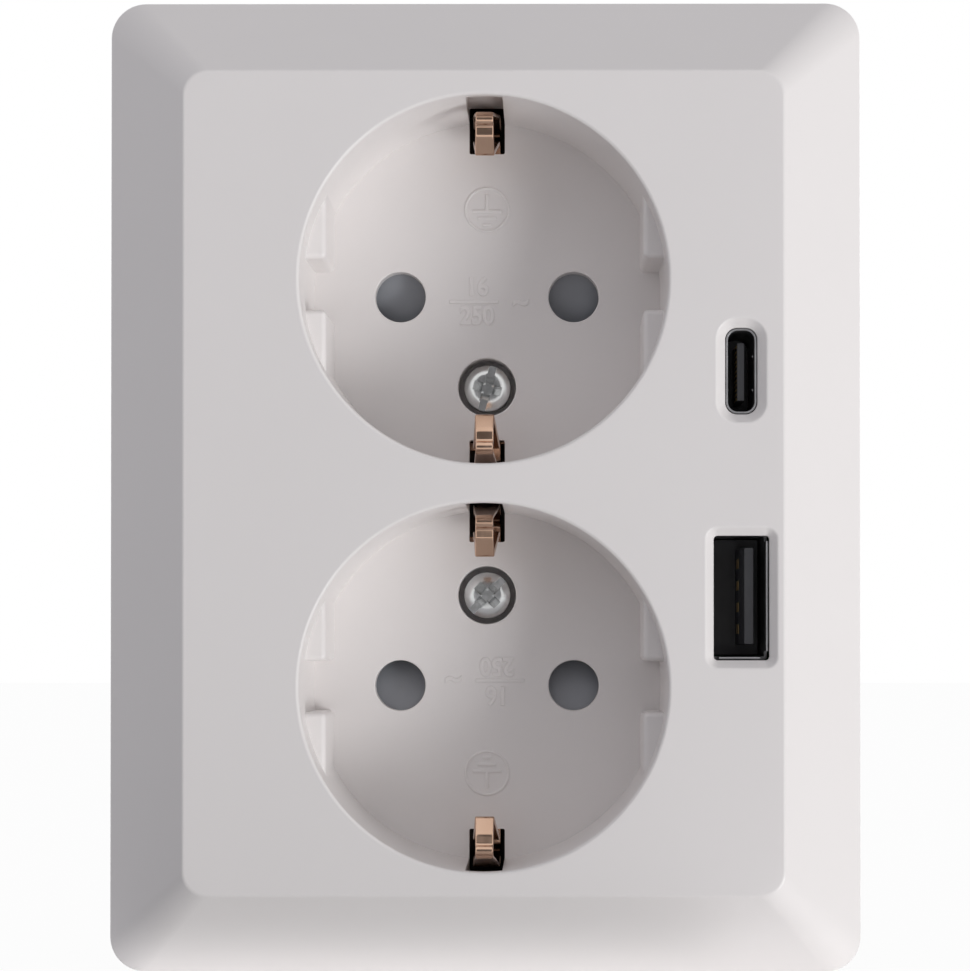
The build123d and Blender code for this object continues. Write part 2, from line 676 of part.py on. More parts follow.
def mounting_frame():
    sheet = RectangleRounded(FRAME_W, FRAME_H, PLATE_R / 2)
    sheet -= base_outline(BASE_WALL + SEAT_GAP)
    for x in (-BOX_X, BOX_X):
        for z in (-BOX_PITCH / 2, BOX_PITCH / 2):
            sheet -= Pos(x, z) * SlotOverall(BOX_SLOT_L, 2 * BOX_SLOT_R)
    for x in (-RIVET_X, RIVET_X):
        for z in (-RIVET_Z, RIVET_Z):
            sheet -= Pos(x, z) * Circle(RIVET_R + SCREW_FIT)
    return slab(sheet, -FRAME_T, 0)


def rivet(x, z):
    mouth = -FRAME_T - FLANGE_T
    return rod(x, z, RIVET_R, mouth, 0) + rod(x, z, RIVET_HEAD_R, mouth - RIVET_HEAD_T, mouth)


save(mounting_frame(), "mounting_frame")
rivets = [rivet(x, z) for x in (-RIVET_X, RIVET_X) for z in (-RIVET_Z, RIVET_Z)]
save(Compound(children=rivets), "frame_rivets")


# Small port


def usb_c_shell():
    outer = SlotOverall(USB_C_W, USB_C_T, rotation=90)
    inner = SlotOverall(USB_C_W - 2 * PORT_WALL, USB_C_T - 2 * PORT_WALL, rotation=90)
    return slab(Pos(PORT_X, USB_C_Z) * (outer - inner), C_FRONT_Y, PORT_BOARD_Y)


def usb_c_tongue():
    place = Pos(PORT_X, USB_C_Z)
    plug_end = PORT_BOARD_Y - PORT_BACK_T
    inner = SlotOverall(USB_C_W - 2 * PORT_WALL, USB_C_T - 2 * PORT_WALL, rotation=90)
    tongue = slab(place * Rectangle(C_TONGUE_T, C_TONGUE_W), C_FRONT_Y + TONGUE_SINK, plug_end)
    return tongue + slab(place * inner, plug_end, PORT_BOARD_Y)


def usb_c_contacts():
    """Rows of pads on both sides of the tongue."""
    y0 = C_FRONT_Y + TONGUE_SINK + C_PAD_W
    pads = []
    for row in range(C_PADS):
        z = USB_C_Z + (row - (C_PADS - 1) / 2) * C_PAD_PITCH
        for x in (PORT_X - C_TONGUE_T / 2 - PAD_T, PORT_X + C_TONGUE_T / 2):
            pads.append(block(x, x + PAD_T, y0, y0 + PAD_L, z - C_PAD_W / 2, z + C_PAD_W / 2))
    return Compound(children=pads)


save(usb_c_shell(), "usb_c_shell")
save(usb_c_tongue(), "usb_c_tongue")
save(usb_c_contacts(), "usb_c_contacts")


# Large port


def usb_a_shell():
    """Folded tube whose front corners are notched."""
    outer = RectangleRounded(USB_A_T, USB_A_W, USB_A_CORNER)
    inner = Rectangle(USB_A_T - 2 * PORT_WALL, USB_A_W - 2 * PORT_WALL)
    shell = slab(Pos(A_X, A_Z) * (outer - inner), A_FRONT_Y, PORT_BOARD_Y)
    for x in (A_X - USB_A_T / 2, A_X + USB_A_T / 2):
        for z in (A_Z - USB_A_W / 2, A_Z + USB_A_W / 2):
            corner = Pos(x, z) * Rectangle(2 * USB_A_NOTCH, 2 * USB_A_NOTCH)
            shell -= slab(corner, A_FRONT_Y, A_FRONT_Y + USB_A_NOTCH)
    return shell


def usb_a_tongue():
    plug_end = PORT_BOARD_Y - PORT_BACK_T
    blade = Pos(A_X + A_TONGUE_SHIFT, A_Z) * Rectangle(A_TONGUE_T, A_TONGUE_W)
    tongue = slab(blade, A_FRONT_Y + TONGUE_SINK, plug_end)
    front = tongue.faces().sort_by(Axis.Y)[0]
    tongue = chamfer(front.edges(), A_TONGUE_T / 5)
    inner = Rectangle(USB_A_T - 2 * PORT_WALL, USB_A_W - 2 * PORT_WALL)
    return tongue + slab(Pos(A_X, A_Z) * inner, plug_end, PORT_BOARD_Y)


def usb_a_contacts():
    """Row of pads on the open side of the tongue."""
    x = A_X + A_TONGUE_SHIFT - A_TONGUE_T / 2
    y0 = A_FRONT_Y + TONGUE_SINK + A_PAD_W
    pads = []
    for row in range(A_PADS):
        z = A_Z + (row - (A_PADS - 1) / 2) * A_PAD_PITCH
        pads.append(block(x - PAD_T, x, y0, y0 + PAD_L, z - A_PAD_W / 2, z + A_PAD_W / 2))
    return Compound(children=pads)


save(usb_a_shell(), "usb_a_shell")
save(usb_a_tongue(), "usb_a_tongue")
save(usb_a_contacts(), "usb_a_contacts")


# Charger boards and components


def board(y):
    return slab(Pos(BOARD_X, 0) * Rectangle(BOARD_W, BOARD_H), y, y + BOARD_T)


def on_board(size, x, z):
    """Box that stands on the front of the power board."""
    width, depth, height = size
    return slab(Pos(x, z) * Rectangle(width, height), POWER_BOARD_Y - depth, POWER_BOARD_Y)


def round_on_board(radius, length, x, z):
    """Can that stands on the front of the power board."""
    return rod(x, z, radius, POWER_BOARD_Y - length, POWER_BOARD_Y)


def transformer_core():
    core = on_board((CORE_W, CORE_D, CORE_H), PARTS_X, 0)
    z0 = CORE_LEG / 2
    z1 = CORE_H / 2 - CORE_YOKE
    x0 = PARTS_X - CORE_W / 2
    y0 = POWER_BOARD_Y - CORE_D + CORE_YOKE
    window = block(x0, x0 + CORE_W, y0, POWER_BOARD_Y - CORE_YOKE, z0, z1)
    return core - mirrored(window, Plane.XY)


def transformer_winding():
    """Coil round the middle leg of the core."""
    inner = Rectangle(CORE_W + 2 * COIL_GAP, CORE_LEG + 2 * COIL_GAP)
    outer = Rectangle(CORE_W + 2 * (COIL_GAP + COIL_T), CORE_H - 2 * (CORE_YOKE + COIL_GAP))
    y0 = POWER_BOARD_Y - CORE_D + CORE_YOKE + COIL_GAP
    y1 = POWER_BOARD_Y - CORE_YOKE - COIL_GAP
    return slab(Pos(PARTS_X, 0) * (outer - inner), y0, y1)


def board_header():
    """Row of pins between the two boards."""
    x = BOARD_X + BOARD_W / 2 - SEAT_GAP - HEADER_W / 2
    return slab(Pos(x, 0) * Rectangle(HEADER_W, HEADER_H), PORT_BOARD_Y + BOARD_T, POWER_BOARD_Y)


def charger_lead(side):
    """Lead from the back of a contact bar to the back of the power board."""
    y = BAR_BACK + BAR_ROOM / 2
    z = -side * LEAD_Z
    points = (
        (side * BAR_X, BAR_BACK, z),
        (side * BAR_X, y, z),
        (BOARD_X - LEAD_IN, y, z),
        (BOARD_X - LEAD_IN, POWER_BOARD_Y + BOARD_T, z),
    )
    path = FilletPolyline(*points, radius=LEAD_BEND)
    return sweep(Plane(path @ 0, z_dir=path % 0) * Circle(LEAD_R), path=path)


save(board(PORT_BOARD_Y), "port_board")
save(board(POWER_BOARD_Y), "power_board")
spacers = []
for x in POST_XS:
    for z in (-POST_Z, POST_Z):
        spacers.append(rod(x, z, SPACER_R, PORT_BOARD_Y + BOARD_T, POWER_BOARD_Y))
save(Compound(children=spacers), "board_spacers")
save(board_header(), "board_header")
save(transformer_core(), "transformer_core")
save(transformer_winding(), "transformer_winding")
save(round_on_board(CAP_R, CAP_L, PARTS_X, CAP_Z), "input_capacitor")
save(round_on_board(OUT_CAP_R, OUT_CAP_L, PARTS_X, OUT_CAP_Z), "output_capacitor")
save(on_board((RECTIFIER_W, RECTIFIER_D, RECTIFIER_H), BOARD_X, RECTIFIER_Z), "rectifier")
save(round_on_board(FUSE_R, FUSE_L, BOARD_X, FUSE_Z), "line_fuse")
chip_y = POWER_BOARD_Y + BOARD_T
save(slab(Pos(BOARD_X, CHIP_Z) * Rectangle(CHIP_W, CHIP_H), chip_y, chip_y + CHIP_D), "control_chip")
save(Compound(children=[charger_lead(-1), charger_lead(1)]), "charger_leads")
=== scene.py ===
import json
import math

import bmesh
import bpy
from mathutils import Matrix, Vector


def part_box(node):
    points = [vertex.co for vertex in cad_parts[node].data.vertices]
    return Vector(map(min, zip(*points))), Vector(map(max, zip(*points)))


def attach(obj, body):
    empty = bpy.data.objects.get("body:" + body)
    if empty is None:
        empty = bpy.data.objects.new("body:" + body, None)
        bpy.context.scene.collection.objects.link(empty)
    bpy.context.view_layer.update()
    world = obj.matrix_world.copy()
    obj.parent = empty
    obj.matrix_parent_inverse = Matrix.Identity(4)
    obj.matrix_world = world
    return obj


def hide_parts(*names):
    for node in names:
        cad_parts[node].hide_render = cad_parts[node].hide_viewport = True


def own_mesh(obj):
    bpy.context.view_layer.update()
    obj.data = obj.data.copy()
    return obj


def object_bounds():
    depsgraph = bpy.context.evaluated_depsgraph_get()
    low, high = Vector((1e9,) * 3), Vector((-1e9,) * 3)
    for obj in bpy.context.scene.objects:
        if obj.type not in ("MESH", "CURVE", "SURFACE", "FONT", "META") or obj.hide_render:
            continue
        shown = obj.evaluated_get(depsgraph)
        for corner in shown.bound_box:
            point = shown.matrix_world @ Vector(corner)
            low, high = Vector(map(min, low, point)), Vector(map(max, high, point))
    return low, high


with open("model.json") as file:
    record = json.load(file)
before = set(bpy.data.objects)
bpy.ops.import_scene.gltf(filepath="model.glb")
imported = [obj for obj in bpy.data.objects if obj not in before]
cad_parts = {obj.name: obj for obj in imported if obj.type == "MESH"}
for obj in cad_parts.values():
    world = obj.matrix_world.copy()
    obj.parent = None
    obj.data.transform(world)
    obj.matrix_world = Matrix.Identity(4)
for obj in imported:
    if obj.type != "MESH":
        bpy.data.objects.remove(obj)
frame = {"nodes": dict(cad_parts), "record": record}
cad_low, cad_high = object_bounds()

# Metres. The wall is the plane y = 0, the room is at negative Y and +Z is up.

# Meshes
MERGE = 1e-7  # points closer than this are one
WELD = 2e-6  # the same after a cut
POINT_R = 1e-6  # radius that stands for a point
CUT_OVER = 0.001  # how far a cutting tool stands past what it cuts
CUT_LAP = 0.0001  # overlap of two cutting tools

# Cover plate
COVER_LOW, COVER_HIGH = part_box("front_cover")
PLATE_W = COVER_HIGH.x - COVER_LOW.x
PLATE_H = COVER_HIGH.z - COVER_LOW.z
FRONT_Y = COVER_LOW.y
PLATE_R = 0.0037
FACE_R = 0.0026
BEVEL = 0.00865
LIP = 0.0012
SHELL = 0.0022
RIM_T = 0.0024
FACE_ROUND = 0.0005
LIP_ROUND = 0.0004
PLATE_STEPS = 14

# Plug wells
WELL_Z = 0.0213
WELL_R = 0.01925
WELL_DRAFT = 0.00025
WELL_WALL = 0.0016
FLOOR_Y = 0.0080
FLOOR_BACK = 0.0102
WALL_STEPS = 8
WELL_STEPS = 192
CUP_STEPS = 144
RIM_ROUND = 0.0004
PIN_X = 0.0095
PIN_HOLE_R = 0.00275
PIN_EDGE = 0.00015
PIN_STEPS = 64
LUG_X = 0.01675
LUG_GAP = 0.0054
LUG_DROP = 0.0050
LUG_ROUND = 0.0006
NOTCH_W = 0.0039
NOTCH_R = 0.0157
NOTCH_BACK = 0.0204
NOTCH_DROP = 0.0012
NOTCH_ROUND = 0.0002
NOTCH_OPEN_Y = 0.0062
NOTCH_OPEN_SIDE = 0.00005
NOTCH_OPEN_PAST = 0.0006

# Cover screws
SCREW_OFFSET = 0.0099
RECESS_R = 0.00317
RECESS_WALL = 0.0012
SCREW_LOW, SCREW_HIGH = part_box("cover_screws")
HEAD_TOP = SCREW_LOW.y
HEAD_T = 0.0019
HEAD_SEAT = HEAD_TOP + HEAD_T
HEAD_R = 0.00255
HEAD_DOME_MM = ((0, 0), (1.4, 0.02), (1.85, 0.09), (2.05, 0.2), (2.4, 0.27), (2.51, 0.33), (2.55, 0.45))
SHANK_R = 0.0015
SHANK_PASS = 0.0004
COLLAR_D = 0.0006
SCREW_STEPS = 72
BOSS_BACK = 0.0140
BOSS_STEPS = 48
DRIVE_W = 0.0008
SLOT_D = 0.0004
CROSS_D = 0.0012
CROSS_TOP = (0.0016, 0.00052)
CROSS_FLOOR = (0.0006, 0.00034)
CROSS_RISE = 0.3
UPPER_DRIVE_ANGLE = math.radians(75)
LOWER_DRIVE_ANGLE = math.radians(225)

# Earth straps and clips
STRAP_Y = BOSS_BACK
STRAP_T = 0.0010
STRAP_W = 0.0060
STRAP_REACH = 0.01575
STRAP_EDGE = 0.00015
STRAP_HOLE_STEPS = 32
CLIP_T = 0.00045
CLIP_FOLD_W = 0.0018
CLIP_W = 0.00215
CLIP_NOSE_W = 0.0018
CLIP_ROOT_W = 0.0030
CLIP_R = 0.0184
CLIP_EDGE = 0.00016
CLIP_EDGE_ANGLE = 60
CLIP_LEG = ((0.0184, 0.0200), (0.0196, 0.0160))
CLIP_RAMP = ((0.0177, 0.0030), (0.01675, 0.0045), (0.01555, 0.00454), (0.01395, 0.0058))
CLIP_NOSE_END = 0.0064
CLIP_NOSE_LEAN = 0.0001
CLIP_TAIL = (0.0166, 0.0155)
CLIP_BENDS = (0.0009, 0.004, 0.004, 0.0005, 0.0006, 0.0008, 0.0003, 0.0003)
CLIP_LEG_END = 0.0004
TAB_X = 0.0080
TAB_Z = 0.0063
TAB_W = 0.0030

# Port openings
PORT_X = 0.0269
USB_C_Z = 0.0117
USB_A_Z = -0.0120
USB_C_W = 0.00894
USB_C_T = 0.00326
USB_C_BEVEL = 0.00095
USB_A_W = 0.0130
USB_A_T = 0.0058
USB_A_BEVEL = 0.00085
USB_A_CORNER = 0.0004
USB_A_WEB = 0.00035
USB_A_POCKET = 0.00054
PORT_GAP = 0.00005
PORT_ROUND = 0.0002
PORT_STEPS = 12

# Port shells
USB_C_CORNER = 0.00125
PORT_WALL = 0.00026
SHELL_CORNER = 0.0001
SHELL_STEPS = 10
LIP_STEPS = 8
DIMPLE_Z = 0.00178
DIMPLE_DEPTH = 0.0028
DIMPLE_R = 0.0002
A_SHELL_T = 0.0061
A_SHELL_W = 0.0133
A_SHELL_LEFT = 0.00018
A_SHELL_UP = 0.0002
A_SHELL_X = PORT_X - A_SHELL_LEFT
A_SHELL_Z = USB_A_Z + A_SHELL_UP
A_SHELL_WALL = PORT_WALL * 1.2
A_CORNER_CUT = 0.0009
A_CUT_DEEP = 0.0030

# Port tongues and contact pads
C_TONGUE_T = 0.0007
C_PADS = 12
C_PAD_PITCH = 0.0005
C_PAD = (0.00003, 0.0040, 0.00025)
A_TONGUE_FRONT = (0.02729, 0.0282, 0.00503)
A_TONGUE = (0.02681, 0.02831, 0.0051)
A_TONGUE_BEVEL = 0.0012
TONGUE_EDGE = 0.0001
A_BACK_T = 0.0030
A_PADS = 4
A_PAD_PITCH = 0.0023
A_PAD = (0.00003, 0.0040, 0.0010)
PAD_SET_BACK = 0.0010

# Marks on the well floors
MARK_T = 0.00015
MARK_EDGE = 0.00012
RING_R = 0.00252
RING_LINE = 0.00032
RING_STEPS = 64
RING_SIDES = 12
MARK_LINE = 0.0004
SIGN_LOW = 0.0003
SIGN_DROP = 0.0002
SIGN_STEM = 0.0017
SIGN_BARS = (0.0016, 0.00105, 0.0005)
SIGN_STEP = 0.00075
DIGIT_H = 0.0020
DIGIT_CAP = 0.72  # height of a digit as a share of the font size
DIGIT_NARROW = 0.9
RATING_X = -0.0011
RATING_Z = -0.00053
RATING_ROW = 0.0016
RATING_BAR = (-0.00305, 0.0024)
WAVE_X = 0.0048
WAVE_H = DIGIT_H * 1.2

# Return springs of the shutters
SPRING_WIRE = 0.0004
SPRING_TURNS = 6
SPRING_STEPS = 32
SPRING_SIDES = 10

# Finishes
NOISE_DETAIL = 3.0
NOISE_LOW = 0.3
NOISE_HIGH = 0.7
CLOUD_SCALE = 60
GLOSS_SCALE = 900

# Studio
FLOOR_REACH = 3.0
FLOOR_SHADE = 0.85
FLOOR_WHITE = 0.96
AMBIENT = 0.53
ROOM_LEFT = (0.92, 0.92, 1.0, 1)
ROOM_RIGHT = (1.0, 0.985, 0.97, 1)
LAMP_SIZE = 0.64
KEY_PLACE = (1.296, -1.080, -0.630)
KEY_POWER = 10.8
LOW_KEY_PLACE = (1.080, -1.005, -1.035)
LOW_KEY_POWER = 7.1
FRONT_CARD_Y = -0.6
FRONT_CARD_HALF = 0.18
FRONT_CARD_Z = (-0.05, 0.28)
FRONT_CARD_SHADE = 0.3
FLOOR_CARD_HALF = 0.25
FLOOR_CARD_Y = (-0.16, -0.006)
GREY_RAISED = 0.0005
GREY_SHADE = 0.8
FLAG_RIGHT = 0.024
FLAG_RAISED = 0.0004
FLAG_SHADE = 0.26

# Camera
SENSOR = 36.0
LENS = 117.52
LENS_SHIFT = (-0.055, 0.13)
NEAR_LIMIT = 0.01
EYE = (0.0073, -0.3394, -0.01746)
EYE_TILT = 0.697
EYE_TURN = 0.275


# Mesh helpers


def new_object(name, mesh):
    piece = bpy.data.objects.new(name, mesh)
    bpy.context.scene.collection.objects.link(piece)
    return piece


def from_bmesh(name, bm):
    """Object with outward normals from a finished bmesh."""
    bmesh.ops.remove_doubles(bm, verts=bm.verts, dist=MERGE)
    bmesh.ops.recalc_face_normals(bm, faces=bm.faces)
    mesh = bpy.data.meshes.new(name)
    bm.to_mesh(mesh)
    bm.free()
    return new_object(name, mesh)


def arc(centre, radius, start, end, steps):
    """Points on an arc, angles in degrees."""
    turns = [math.radians(start + (end - start) * i / steps) for i in range(steps + 1)]
    return [(centre[0] + radius * math.cos(t), centre[1] + radius * math.sin(t)) for t in turns]


def rounded(points, radii, steps=6):
    """A polyline whose inner corners are rounded."""
    line = [points[0]]
    for i in range(1, len(points) - 1):
        corner = Vector(points[i])
        before = (Vector(points[i - 1]) - corner).normalized()
        after = (Vector(points[i + 1]) - corner).normalized()
        half = before.angle(after) / 2
        if radii[i - 1] == 0:
            line.append(tuple(corner))
            continue
        reach = radii[i - 1] / math.tan(half)
        middle = corner + (before + after).normalized() * (radii[i - 1] / math.sin(half))
        first = corner + before * reach - middle
        last = corner + after * reach - middle
        for k in range(steps + 1):
            blend = first.lerp(last, k / steps).normalized() * radii[i - 1]
            line.append(tuple(middle + blend))
    line.append(points[-1])
    return line


def rectangle_loop(width, height, radius, steps):
    """Corner points of a rounded rectangle in X and Z."""
    radius = max(radius, POINT_R)
    loop = []
    for sx, sz, start in ((1, 1, 0), (-1, 1, 90), (-1, -1, 180), (1, -1, 270)):
        centre = (sx * (width / 2 - radius), sz * (height / 2 - radius))
        loop += arc(centre, radius, start, start + 90, steps)
    return loop


def skin(bm, loops, cap=True):
    """Quads between neighbouring loops of (x, y, z) points, with both ends closed."""
    rings = [[bm.verts.new(p) for p in loop] for loop in loops]
    for low, high in zip(rings, rings[1:]):
        for i in range(len(low)):
            j = (i + 1) % len(low)
            bm.faces.new((low[i], low[j], high[j], high[i]))
    if cap:
        bm.faces.new(rings[0])
        bm.faces.new(rings[-1])
    return rings


def lathe(name, profile, steps, x=0.0, z=0.0):
    """Solid of revolution about a line along Y, from (radius, y) points that end on the axis."""
    bm = bmesh.new()
    loops = []
    for radius, y in profile:
        r = max(radius, POINT_R)
        turns = [2 * math.pi * i / steps for i in range(steps)]
        loops.append([(x + r * math.cos(t), y, z + r * math.sin(t)) for t in turns])
    skin(bm, loops)
    return from_bmesh(name, bm)


def box(name, low, high, edge=0.0, steps=3):
    """Block with rounded edges."""
    bm = bmesh.new()
    bmesh.ops.create_cube(bm, size=1.0)
    size = Vector(high) - Vector(low)
    middle = (Vector(high) + Vector(low)) / 2
    bmesh.ops.transform(bm, matrix=Matrix.Diagonal((*size, 1)), verts=bm.verts)
    bmesh.ops.translate(bm, vec=middle, verts=bm.verts)
    if edge:
        bmesh.ops.bevel(
            bm,
            geom=bm.edges[:],
            offset=edge,
            offset_type="OFFSET",
            segments=steps,
            profile=0.5,
            affect="EDGES",
        )
    return from_bmesh(name, bm)


def evaluated_mesh(piece):
    """Mesh of an object with its modifiers run."""
    bpy.context.view_layer.update()
    graph = bpy.context.evaluated_depsgraph_get()
    return bpy.data.meshes.new_from_object(piece.evaluated_get(graph))


def apply_modifiers(piece):
    """Keep what an object's modifiers make, as a plain mesh."""
    mesh = evaluated_mesh(piece)
    piece.modifiers.clear()
    piece.data = mesh


def boolean(piece, tools, operation):
    """Join or cut the tools, which are then removed."""
    group = bpy.data.collections.new("tools")
    bpy.context.scene.collection.children.link(group)
    for tool in tools:
        group.objects.link(tool)
    step = piece.modifiers.new("boolean", "BOOLEAN")
    step.operation = operation
    step.solver = "EXACT"
    step.operand_type = "COLLECTION"
    step.collection = group
    apply_modifiers(piece)
    bm = bmesh.new()
    bm.from_mesh(piece.data)
    bmesh.ops.remove_doubles(bm, verts=bm.verts, dist=WELD)
    bm.to_mesh(piece.data)
    bm.free()
    for tool in tools:
        bpy.data.objects.remove(tool)
    bpy.data.collections.remove(group)


def finish_mesh(piece, material, angle=32):
    """Smooth shading with crisp edges, and one material."""
    mesh = piece.data
    mesh.materials.clear()
    mesh.materials.append(material)
    for face in mesh.polygons:
        face.material_index = 0
    mesh.shade_smooth()
    mesh.set_sharp_from_angle(angle=math.radians(angle))
    step = piece.modifiers.new("even_shading", "WEIGHTED_NORMAL")
    step.keep_sharp = True
    step.weight = 100
    apply_modifiers(piece)


def moved(piece, matrix):
    piece.data.transform(matrix)
    return piece


def copied(piece, name, matrix):
    other = new_object(name, piece.data.copy())
    return moved(other, matrix)


def joined(name, pieces):
    """One mesh from several objects, which are removed."""
    bm = bmesh.new()
    for piece in pieces:
        bm.from_mesh(piece.data)
        bpy.data.objects.remove(piece)
    mesh = bpy.data.meshes.new(name)
    bm.to_mesh(mesh)
    bm.free()
    return new_object(name, mesh)


UPPER = Matrix.Translation((0, 0, WELL_Z))
LOWER = Matrix.Translation((0, 0, -WELL_Z)) @ Matrix.Rotation(math.pi, 4, "Y")
MIRROR_Z = Matrix.Diagonal((1, 1, -1, 1))


# Materials


def material(name):
    """New material with its tree, shader and object coordinates."""
    made = bpy.data.materials.new(name)
    made.use_nodes = True
    tree = made.node_tree
    shader = tree.nodes["Principled BSDF"]
    place = tree.nodes.new("ShaderNodeTexCoord")
    return made, tree, shader, place.outputs["Object"]


def noise(tree, place, scale, stretch=(1, 1, 1)):
    """Noise on object coordinates, the scale in patches to the metre."""
    turn = tree.nodes.new("ShaderNodeMapping")
    turn.inputs["Scale"].default_value = stretch
    texture = tree.nodes.new("ShaderNodeTexNoise")
    texture.inputs["Scale"].default_value = scale
    texture.inputs["Detail"].default_value = NOISE_DETAIL
    tree.links.new(place, turn.inputs["Vector"])
    tree.links.new(turn.outputs["Vector"], texture.inputs["Vector"])
    return texture.outputs["Fac"]


def spread(tree, value, low, high):
    """Noise turned into a range of numbers."""
    span = tree.nodes.new("ShaderNodeMapRange")
    span.inputs["From Min"].default_value = NOISE_LOW
    span.inputs["From Max"].default_value = NOISE_HIGH
    span.inputs["To Min"].default_value = low
    span.inputs["To Max"].default_value = high
    tree.links.new(value, span.inputs["Value"])
    return span.outputs["Result"]


def tint(tree, value, dark, light):
    """Noise turned into a colour between two."""
    ramp = tree.nodes.new("ShaderNodeValToRGB")
    ramp.color_ramp.elements[0].position = NOISE_LOW
    ramp.color_ramp.elements[0].color = (*dark, 1)
    ramp.color_ramp.elements[1].position = NOISE_HIGH
    ramp.color_ramp.elements[1].color = (*light, 1)
    tree.links.new(value, ramp.inputs["Fac"])
    return ramp.outputs["Color"]


def bump(tree, shader, value, depth):
    """Fine relief, its depth in metres."""
    relief = tree.nodes.new("ShaderNodeBump")
    relief.inputs["Strength"].default_value = 1.0
    relief.inputs["Distance"].default_value = depth
    tree.links.new(value, relief.inputs["Height"])
    tree.links.new(relief.outputs["Normal"], shader.inputs["Normal"])


def plastic(name, dark, light, gloss, grain, depth):
    """Moulded plastic: faint clouding, uneven gloss and a fine skin."""
    made, tree, shader, place = material(name)
    clouds = noise(tree, place, CLOUD_SCALE)
    tree.links.new(tint(tree, clouds, dark, light), shader.inputs["Base Color"])
    wear = noise(tree, place, GLOSS_SCALE)
    tree.links.new(spread(tree, wear, *gloss), shader.inputs["Roughness"])
    bump(tree, shader, noise(tree, place, grain), depth)
    return made


def metal(name, dark, light, gloss, grain, depth, stretch=(1, 1, 1)):
    """Sheet metal or plating: patchy tone, drawn streaks and fine relief."""
    made, tree, shader, place = material(name)
    patches = noise(tree, place, grain / 4, stretch=stretch)
    tree.links.new(tint(tree, patches, dark, light), shader.inputs["Base Color"])
    streaks = noise(tree, place, grain, stretch=stretch)
    tree.links.new(spread(tree, streaks, *gloss), shader.inputs["Roughness"])
    bump(tree, shader, noise(tree, place, grain, stretch=stretch), depth)
    shader.inputs["Metallic"].default_value = 1.0
    return made


# Each finish: darker and lighter tone, roughness range, grains to the metre, relief depth, stretch if drawn.
PLASTICS = {
    "white_plastic": ((0.846, 0.817, 0.808), (0.854, 0.825, 0.816), (0.29, 0.34), 260, 6e-7),
    "base_plastic": ((0.032, 0.022, 0.018), (0.046, 0.032, 0.026), (0.5, 0.62), 4000, 1.2e-5),
    "insert_plastic": ((0.045, 0.032, 0.027), (0.06, 0.044, 0.036), (0.45, 0.55), 4000, 8e-6),
    "shutter_plastic": ((0.33, 0.345, 0.375), (0.38, 0.395, 0.43), (0.38, 0.5), 4000, 6e-6),
    "port_black": ((0.03, 0.03, 0.034), (0.04, 0.04, 0.045), (0.35, 0.45), 5000, 1e-6),
    "board_green": ((0.01, 0.08, 0.035), (0.016, 0.11, 0.05), (0.3, 0.4), 2500, 6e-6),
    "ferrite": ((0.03, 0.03, 0.032), (0.055, 0.055, 0.057), (0.45, 0.6), 3000, 1e-5),
    "winding_tape": ((0.55, 0.38, 0.05), (0.66, 0.47, 0.08), (0.29, 0.36), 1500, 1e-5),
    "can_sleeve": ((0.015, 0.018, 0.04), (0.025, 0.03, 0.06), (0.29, 0.35), 2500, 4e-6),
    "fuse_body": ((0.08, 0.05, 0.03), (0.12, 0.075, 0.045), (0.35, 0.45), 3000, 5e-6),
    "lead_sleeve": ((0.05, 0.05, 0.055), (0.08, 0.08, 0.085), (0.35, 0.45), 3000, 5e-6),
}
METALS = {
    "copper": ((0.56, 0.37, 0.265), (0.66, 0.45, 0.335), (0.12, 0.22), 1500, 4e-7, (1, 0.3, 0.3)),
    "contact_brass": ((0.66, 0.50, 0.25), (0.78, 0.62, 0.34), (0.29, 0.38), 2000, 2e-6, (1, 1, 0.15)),
    "zinc_steel": ((0.62, 0.63, 0.63), (0.72, 0.72, 0.72), (0.18, 0.25), 2000, 8e-7),
    "frame_steel": ((0.46, 0.47, 0.48), (0.60, 0.61, 0.62), (0.28, 0.46), 800, 4e-6),
    "spring_steel": ((0.38, 0.38, 0.39), (0.52, 0.52, 0.53), (0.29, 0.4), 3000, 2e-6),
    "port_steel": ((0.27, 0.27, 0.28), (0.34, 0.34, 0.35), (0.3, 0.4), 1500, 2e-7),
    "pad_gold": ((0.55, 0.37, 0.13), (0.66, 0.47, 0.19), (0.29, 0.36), 3000, 1e-6),
}
FINISHES = {name: plastic(name, *look) for name, look in PLASTICS.items()}
FINISHES.update({name: metal(name, *look) for name, look in METALS.items()})


def dress_nodes():
    """Give every CAD node the finish of its material slot."""
    for entry in frame["record"]["subparts"]:
        piece = frame["nodes"][entry["node"]]
        piece.data.materials.clear()
        piece.data.materials.append(FINISHES[entry["material_slot"]])


# Front cover


def plate_blank():
    """Hollow bevelled plate, open towards the wall."""
    corner = (BEVEL, FRONT_Y)
    outline = rounded(
        ((0, 0), (0, -LIP), corner, (BEVEL + 2 * FACE_ROUND, FRONT_Y)), (LIP_ROUND, FACE_ROUND), 5
    )
    loops = []
    for inset, y in outline:
        radius = PLATE_R + (FACE_R - PLATE_R) * inset / BEVEL
        loop = rectangle_loop(PLATE_W - 2 * inset, PLATE_H - 2 * inset, radius, PLATE_STEPS)
        loops.append([(x, y, z) for x, z in loop])
    climb = BEVEL * (-FRONT_Y - SHELL - LIP) / (-FRONT_Y - LIP)
    inside = []
    for inset, y in ((RIM_T + climb, FRONT_Y + SHELL), (RIM_T, -LIP), (RIM_T, 0)):
        loop = rectangle_loop(PLATE_W - 2 * inset, PLATE_H - 2 * inset, PLATE_R / 2, PLATE_STEPS)
        inside.append([(x, y, z) for x, z in loop])
    bm = bmesh.new()
    outer = skin(bm, loops, cap=False)
    inner = skin(bm, inside, cap=False)
    bm.faces.new(outer[-1])
    bm.faces.new(inner[0])
    for i in range(len(outer[0])):
        j = (i + 1) % len(outer[0])
        bm.faces.new((outer[0][i], outer[0][j], inner[-1][j], inner[-1][i]))
    return from_bmesh("front_cover_visual", bm)


